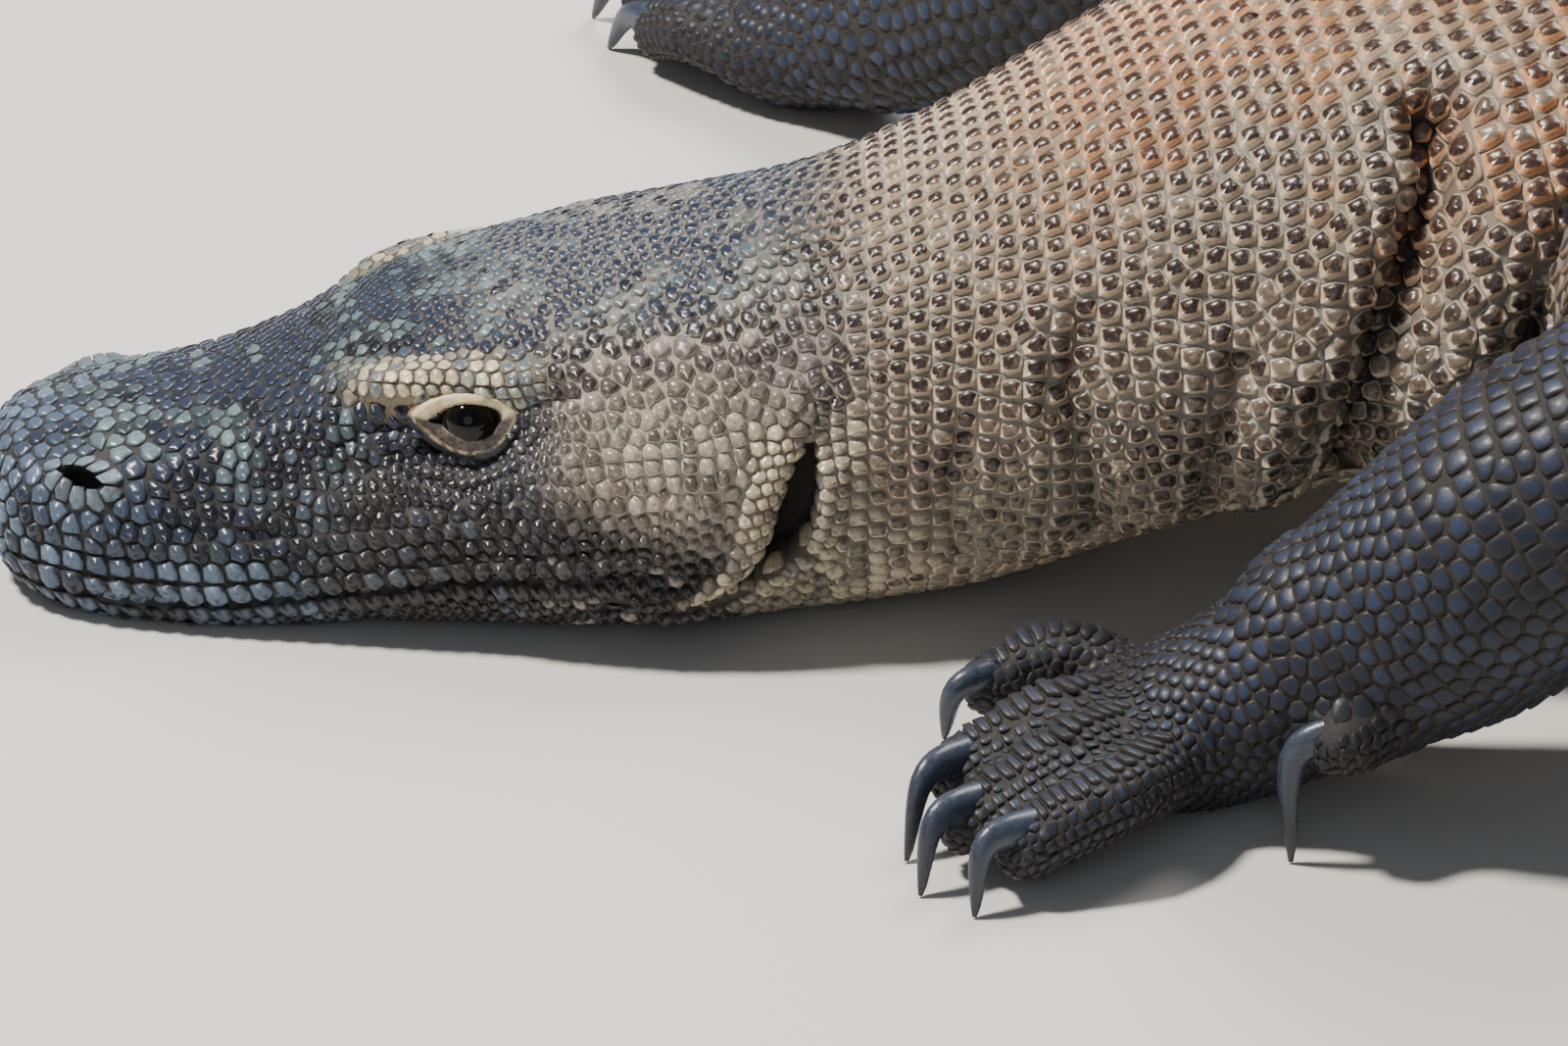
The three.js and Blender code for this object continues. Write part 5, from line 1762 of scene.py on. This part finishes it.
def bump(tree, height, strength, distance):
    node = tree.nodes.new("ShaderNodeBump")
    node.inputs["Strength"].default_value = strength
    node.inputs["Distance"].default_value = distance
    tree.links.new(height, node.inputs["Height"])
    return node.outputs["Normal"]


print("helpers for materials, noise, masks and mixes are ready")

# %% [markdown]
# ## The look of a scale
# Scales are horn: smooth and faintly glossy on the crown, rough and dusty at the foot. Their look is a node
# group, because two materials share it. It takes the colours and values that every scale carries, and hands
# back a colour, a roughness and a height. The crown's colour reaches outward as far as the cover says, with
# a ragged border; dust lies low on the dome, and the groove round it is painted dark, as shade.

# %% The scale's colour as a node group
tree = colour_group = bpy.data.node_groups.new("Scale colour", "ShaderNodeTree")
for side, kind, labels in (
    ("INPUT", "NodeSocketColor", ("Crown", "Edge", "Between")),
    ("INPUT", "NodeSocketFloat", ("Rise", "Inward", "Cover", "Mottle")),
    ("OUTPUT", "NodeSocketColor", ("Colour",)),
    ("OUTPUT", "NodeSocketFloat", ("Roughness", "Height")),
):
    for label in labels:
        tree.interface.new_socket(name=label, in_out=side, socket_type=kind)
given, result = tree.nodes.new("NodeGroupInput").outputs, tree.nodes.new("NodeGroupOutput").inputs
grain, blotch = noise(tree, 1500, 3, 0.6), noise(tree, 330, 4, 0.6)
wander = times(tree, calculate(tree, "SUBTRACT", blotch, 0.5), 0.6)
wander = times(tree, wander, calculate(tree, "ADD", given["Mottle"], 0.4))
reached = calculate(tree, "ADD", given["Inward"], wander)
reached = calculate(tree, "ADD", reached, given["Cover"])
painted = mix(tree, remap(tree, reached, 0.93, 1.09), given["Edge"], given["Crown"])
inside = times(tree, remap(tree, noise(tree, 520, 2, 0.5), 0.52, 0.66), given["Mottle"])
painted = mix(tree, times(tree, inside, 0.42), painted, given["Edge"])
dark_speck = remap(tree, noise(tree, 1150, 2, 0.5), 0.60, 0.68)
painted = mix(tree, times(tree, dark_speck, 0.45), painted, (0.020, 0.018, 0.018))
dusty = remap(tree, noise(tree, 70, 5, 0.65), 0.45, 0.65)
settled = times(tree, times(tree, remap(tree, given["Rise"], 0.70, 0.15), dusty), 0.45)
painted = mix(tree, settled, painted, given["Between"])
painted = mix(tree, remap(tree, given["Rise"], 0.10, 0.36, 0.95, 0.0), painted, given["Between"])
# Painted shade: the sunk foot of each dome is darkened nearly to black, where the crevice between scales lies
# in shade
groove_shade = remap(tree, given["Rise"], 0.0, 0.10, 0.85, 0.0)
tree.links.new(mix(tree, groove_shade, painted, (0.022, 0.018, 0.016)), result["Colour"])
rough_value = remap(tree, given["Rise"], 0.30, 0.80, 0.62, 0.20)
tree.links.new(calculate(tree, "ADD", rough_value, times(tree, grain, 0.14)), result["Roughness"])
tree.links.new(calculate(tree, "ADD", times(tree, grain, 0.5), blotch), result["Height"])
print("the group Scale colour has", len(tree.nodes), "nodes")

# %% [markdown]
# ## Two materials for scales
# The body's scales are a little shiny, with a thin coat like a polished nail. The limbs' scales are scuffed
# by the ground, so theirs are duller.

# %% Scales of the body and of the limbs
def scale_material(name, dull, shine, coat):
    """The shared look: dull adds to its roughness, shine is how much it mirrors, coat is its polish."""
    matter, tree, finish = new_material(name)
    look = tree.nodes.new("ShaderNodeGroup")
    look.node_tree = colour_group
    for label, value in (("Crown", "crown_colour"), ("Edge", "edge_colour"), ("Between", "between_colour")):
        tree.links.new(attribute(tree, value), look.inputs[label])
    for label in ("Rise", "Inward", "Cover", "Mottle"):
        tree.links.new(attribute(tree, label.lower(), "Fac"), look.inputs[label])
    tree.links.new(look.outputs["Colour"], finish.inputs["Base Color"])
    tree.links.new(calculate(tree, "ADD", look.outputs["Roughness"], dull), finish.inputs["Roughness"])
    tree.links.new(bump(tree, look.outputs["Height"], 0.35, 0.0004), finish.inputs["Normal"])
    finish.inputs["Specular IOR Level"].default_value = shine
    finish.inputs["Coat Weight"].default_value = coat
    finish.inputs["Coat Roughness"].default_value = 0.20
    return matter


scale_matter = scale_material("dragon_scales", 0.0, 0.36, 0.24)
leg_scale_matter = scale_material("dragon_leg_scales", 0.20, 0.26, 0.05)
print(scale_matter.name, "and", leg_scale_matter.name, "share", colour_group.name)

# %% [markdown]
# ## Bare skin
# What shows between the scales is matt skin in the same colours, but painted darker, as shade between the
# scales. In the folds, the ear and the nostril it is painted darker still, as shade there, by a value that
# the skin's vertices carry.

# %% Bare skin between the scales
skin_matter, tree, finish = new_material("dragon_skin_between")
between = attribute(tree, "between_colour")
shade = remap(tree, noise(tree, 80, 5, 0.6), 0.40, 0.62, 0.0, 0.4)
between = mix(tree, shade, between, attribute(tree, "edge_colour"))
grains = noise(tree, 1400, 2, 0.6)
between = mix(tree, remap(tree, grains, 0.5, 0.7, 0.0, 0.45), between, (0.03, 0.026, 0.024))
# Painted shade: all bare skin is darkened, as the gaps between the scales lie in shade
between = mix(tree, 0.45, between, (0.024, 0.020, 0.018))
# painted shade in the folds, the ear and the nostril
between = mix(tree, attribute(tree, "crease_shade", "Fac"), between, (0.012, 0.009, 0.008))
tree.links.new(between, finish.inputs["Base Color"])
finish.inputs["Roughness"].default_value = 0.78
tree.links.new(bump(tree, grains, 0.6, 0.0005), finish.inputs["Normal"])
print(skin_matter.name, "has", len(tree.nodes), "nodes")

# %% [markdown]
# ## The wet eye
# The pupil, the iris and the white are bands by the distance from the eye's axis, all of them very dark. A
# low roughness makes the wet highlight that gives an eye its life.

# %% Wet eye
eye_matter, tree, finish = new_material("wet_eye")
from_axis = attribute(tree, "from_axis", "Fac")
streaks = noise(tree, 1500, 3, 0.7)
iris_colour = mix(tree, streaks, (0.003, 0.003, 0.003), (0.009, 0.006, 0.005))
pupil = remap(tree, from_axis, 0.118, 0.135)
iris_colour = mix(tree, pupil, (0.002, 0.002, 0.003), iris_colour)
white = remap(tree, from_axis, 0.262, 0.300)
tree.links.new(mix(tree, white, iris_colour, (0.014, 0.011, 0.010)), finish.inputs["Base Color"])
finish.inputs["Roughness"].default_value = 0.05
finish.inputs["Specular IOR Level"].default_value = 0.24
print(eye_matter.name, "is ready")

# %% [markdown]
# ## Soft lids
# The upper lid is cream with brown specks and a dark, notched edge, the lower one brown, then patchy cream,
# then slate. Two values on the vertices, above and rim, say which lid it is and how far from the eye.

# %% Eyelid skin
lid_matter, tree, finish = new_material("eyelid_skin")
above, rim = attribute(tree, "above", "Fac"), attribute(tree, "rim", "Fac")
fine = noise(tree, 700, 4, 0.6)
brown, cream, slate = (0.055, 0.040, 0.034), (0.56, 0.46, 0.30), (0.030, 0.031, 0.038)
low_lid = mix(tree, remap(tree, fine, 0.45, 0.62), brown, (0.15, 0.12, 0.10))
patches = remap(tree, noise(tree, 420, 2, 0.5), 0.44, 0.54, 0.15, 0.9)
patchy = times(tree, remap(tree, rim, 0.64, 0.72), patches)
low_lid = mix(tree, patchy, low_lid, cream)
low_lid = mix(tree, remap(tree, rim, 0.76, 0.86), low_lid, slate)
notches = remap(tree, noise(tree, 1300, 2, 0.5), 0.46, 0.60)
high_lid = mix(tree, remap(tree, fine, 0.56, 0.70, 0.0, 0.5), (0.66, 0.54, 0.34), (0.22, 0.15, 0.11))
high_lid = mix(tree, times(tree, remap(tree, rim, 0.34, 0.16), notches), high_lid, (0.03, 0.02, 0.018))
high_lid = mix(tree, remap(tree, rim, 0.84, 0.94), high_lid, (0.30, 0.19, 0.10))
lid_colour = mix(tree, remap(tree, above, 0.46, 0.60), low_lid, high_lid)
lid_colour = mix(tree, remap(tree, rim, 0.20, 0.04), lid_colour, (0.022, 0.016, 0.015))
tree.links.new(lid_colour, finish.inputs["Base Color"])
finish.inputs["Roughness"].default_value = 0.5
tree.links.new(bump(tree, fine, 0.5, 0.0006), finish.inputs["Normal"])
print(lid_matter.name, "has", len(tree.nodes), "nodes")

# %% [markdown]
# ## Horn
# A claw is dark, bluish horn with fine cloudy streaks, paler where it leaves the digit and nearly black at
# its point. The value toward_point on its vertices runs from its root to its point.

# %% Claw horn
horn_matter, tree, finish = new_material("claw_horn")
toward_point = attribute(tree, "toward_point", "Fac")
streaky = noise(tree, 320, 5, 0.7)
horn_colour = mix(tree, streaky, (0.014, 0.019, 0.034), (0.055, 0.070, 0.105))
horn_colour = mix(tree, remap(tree, toward_point, 0.55, 1.0, 0.0, 0.7), horn_colour, (0.020, 0.018, 0.018))
horn_colour = mix(tree, remap(tree, toward_point, 0.26, 0.08, 0.0, 0.6), horn_colour, (0.10, 0.085, 0.075))
tree.links.new(horn_colour, finish.inputs["Base Color"])
tree.links.new(remap(tree, streaky, 0.3, 0.7, 0.22, 0.42), finish.inputs["Roughness"])
tree.links.new(bump(tree, streaky, 0.25, 0.0005), finish.inputs["Normal"])
print(horn_matter.name, "has", len(tree.nodes), "nodes")

# %% [markdown]
# ## Skin, eyes, lids and claws put away
# Each finished piece gets its material, and the CAD solids that it stands for are hidden. The one skin takes
# the place of all the solids of flesh.

# %% Skin, eyes, lids and claws
flesh = ["head", "lower_jaw", "neck", "chest", "belly", "pelvis", "tail_root", "tail_front", "tail_middle"]
flesh += ["tail_rear", "tail_tip"]
for part in ("upper_arm", "forearm", "hand", "thigh", "shank", "foot"):
    flesh += [f"{part}_left", f"{part}_right"]
put_away(skin, skin_matter, flesh)
for piece, node in zip(eyes, ("eye_left", "eye_right")):
    put_away(piece, eye_matter, [node])
for piece in lids:
    put_away(piece, lid_matter)
for piece, node in claws:
    put_away(piece, horn_matter, [node])

print("put away: 1 skin,", len(eyes), "eyes,", len(lids), "lids and", len(claws), "claws")

# %% [markdown]
# ## The coat in pieces
# The coat is split by region, so that each mesh stays small enough to handle. The head, the near side of
# the neck and the left foreleg have the finer domes; the far side, the trunk, the tail and the other legs
# have plainer ones.

# %% Pieces of the coat
left = scale_down > -25
head_part = on_body & (scale_along < 236)
neck_part = on_body & (scale_along >= 236) & (scale_along < 470)
groups = [
    ("coat_head_left", head_part & (scale_down >= 0), BEAD, "head_skin"),
    ("coat_head_right", head_part & (scale_down < 0), BEAD, "head_skin"),
    ("coat_neck_near", neck_part & left, BEAD_ON_BASE, "body_skin"),
    ("coat_neck_far", neck_part & ~left, PLAIN, "body_skin"),
]
stops = [470, 640, 800, 960, 1120, 1300, 1600, LENGTH + 1]
for number, (start, end) in enumerate(zip(stops, stops[1:]), 1):
    some = on_body & (scale_along >= start) & (scale_along < end)
    groups.append((f"coat_body_{number}", some, PLAIN, "body_skin"))
for leg in LEGS:
    own = [number for number, tube in enumerate(TUBES, 1) if tube["name"].startswith(leg)]
    detail = PLATE if leg == "fore_left" else PLAIN
    groups.append((f"coat_{leg}", np.isin(scale_region, own), detail, "leg_skin"))
total = sum(coat_piece(name, np.nonzero(mask)[0], detail, slot) for name, mask, detail, slot in groups)
print("the coat has", total, "triangles")

# %% [markdown]
# ## Studio
# A plain pale floor, as in a museum's photo studio, and a dim, bluish sky that lightens the shadows a
# little.

# %% Floor and air
ground = bmesh.new()
bmesh.ops.create_grid(ground, x_segments=1, y_segments=1, size=9)
floor = mesh_object("studio_floor", ground)
floor_matter, tree, finish = new_material("floor_paper")
paper = mix(tree, noise(tree, 3, 2, 0.5), (0.60, 0.58, 0.55), (0.64, 0.62, 0.59))
tree.links.new(paper, finish.inputs["Base Color"])
finish.inputs["Roughness"].default_value = 0.9
floor.data.materials.append(floor_matter)
floor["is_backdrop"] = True

world = bpy.data.worlds.new("studio_air")
bpy.context.scene.world = world
world.use_nodes = True
air = world.node_tree.nodes["Background"].inputs
air["Color"].default_value = (0.80, 0.86, 0.95, 1)
air["Strength"].default_value = 0.17
print("floor and air are in place")

# %% [markdown]
# ## View and lights
# The camera looks down from the left side. Its directions come first, because the lights are placed about the
# point that it aims at. Large discs give soft-edged shadows. The key light stands high before the snout and is
# the smallest, so that every dome has a bright and a shaded side. The others draw the back's outline, fill the
# shadows a little and light the rest of the body.

# %% Directions of the view, and soft lights
AZIMUTH, ELEVATION, DISTANCE = math.radians(70), math.radians(27), 2.4
level = math.cos(ELEVATION)
ahead = Vector((-math.sin(AZIMUTH) * level, math.cos(AZIMUTH) * level, -math.sin(ELEVATION)))
right = Vector((math.cos(AZIMUTH), math.sin(AZIMUTH), 0))
aim = Vector(SNOUT / 1000) + right * 0.216 + right.cross(ahead) * 0.008775 + right * 0.003
print("the camera aims at", [round(v, 3) for v in aim])


def soft_light(name, place, target, size, power, colour):
    lamp = bpy.data.lights.new(name, "AREA")
    lamp.shape = "DISK"
    lamp.size = size
    lamp.energy = power
    lamp.color = colour
    holder = put_in_scene(name, lamp)
    holder.location = place
    holder.rotation_euler = (Vector(target) - Vector(place)).to_track_quat("-Z", "Y").to_euler()


soft_light("key", aim + Vector((-0.35, -1.1, 2.3)), aim + Vector((0, 0.1, 0)), 0.36, 132, (1.0, 0.95, 0.87))
soft_light("back", aim + Vector((-0.9, 1.3, 1.5)), aim + Vector((0, 0.1, 0)), 0.9, 26, (0.90, 0.95, 1.0))
soft_light("fill", aim + Vector((2.2, -1.2, 1.2)), aim, 1.8, 9, (0.86, 0.92, 1.0))
soft_light("body", Vector((-0.8, 0.6, 2.6)), Vector((0, 0.2, 0)), 1.6, 60, (1.0, 0.97, 0.92))
print(len(bpy.data.lights), "lights")

# %% [markdown]
# ## Camera
# A 200 mm lens from 2.4 m away flattens the view a little, as a photographer would choose for a wild
# animal.

# %% Camera
camera_data = bpy.data.cameras.new("camera")
camera_data.sensor_width = 36
camera_data.lens = 200
camera_data.clip_start, camera_data.clip_end = 0.1, 60
camera = put_in_scene("camera", camera_data)
camera.location = aim - ahead * DISTANCE
camera.rotation_euler = ahead.to_track_quat("-Z", "Y").to_euler()
bpy.context.scene.camera = camera
print("the camera stands", round(camera.location.z, 2), "m over the floor")

# %% [markdown]
# ## Size against the CAD box
# The finished model should fill the box of the CAD solids and hardly more. Both boxes are written down in
# metres.

# %% Both boxes
built_low, built_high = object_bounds()
sizes = {"cad": [list(map(float, cad_low)), list(map(float, cad_high))]}
sizes["visual"] = [list(map(float, built_low)), list(map(float, built_high))]
print(sizes)
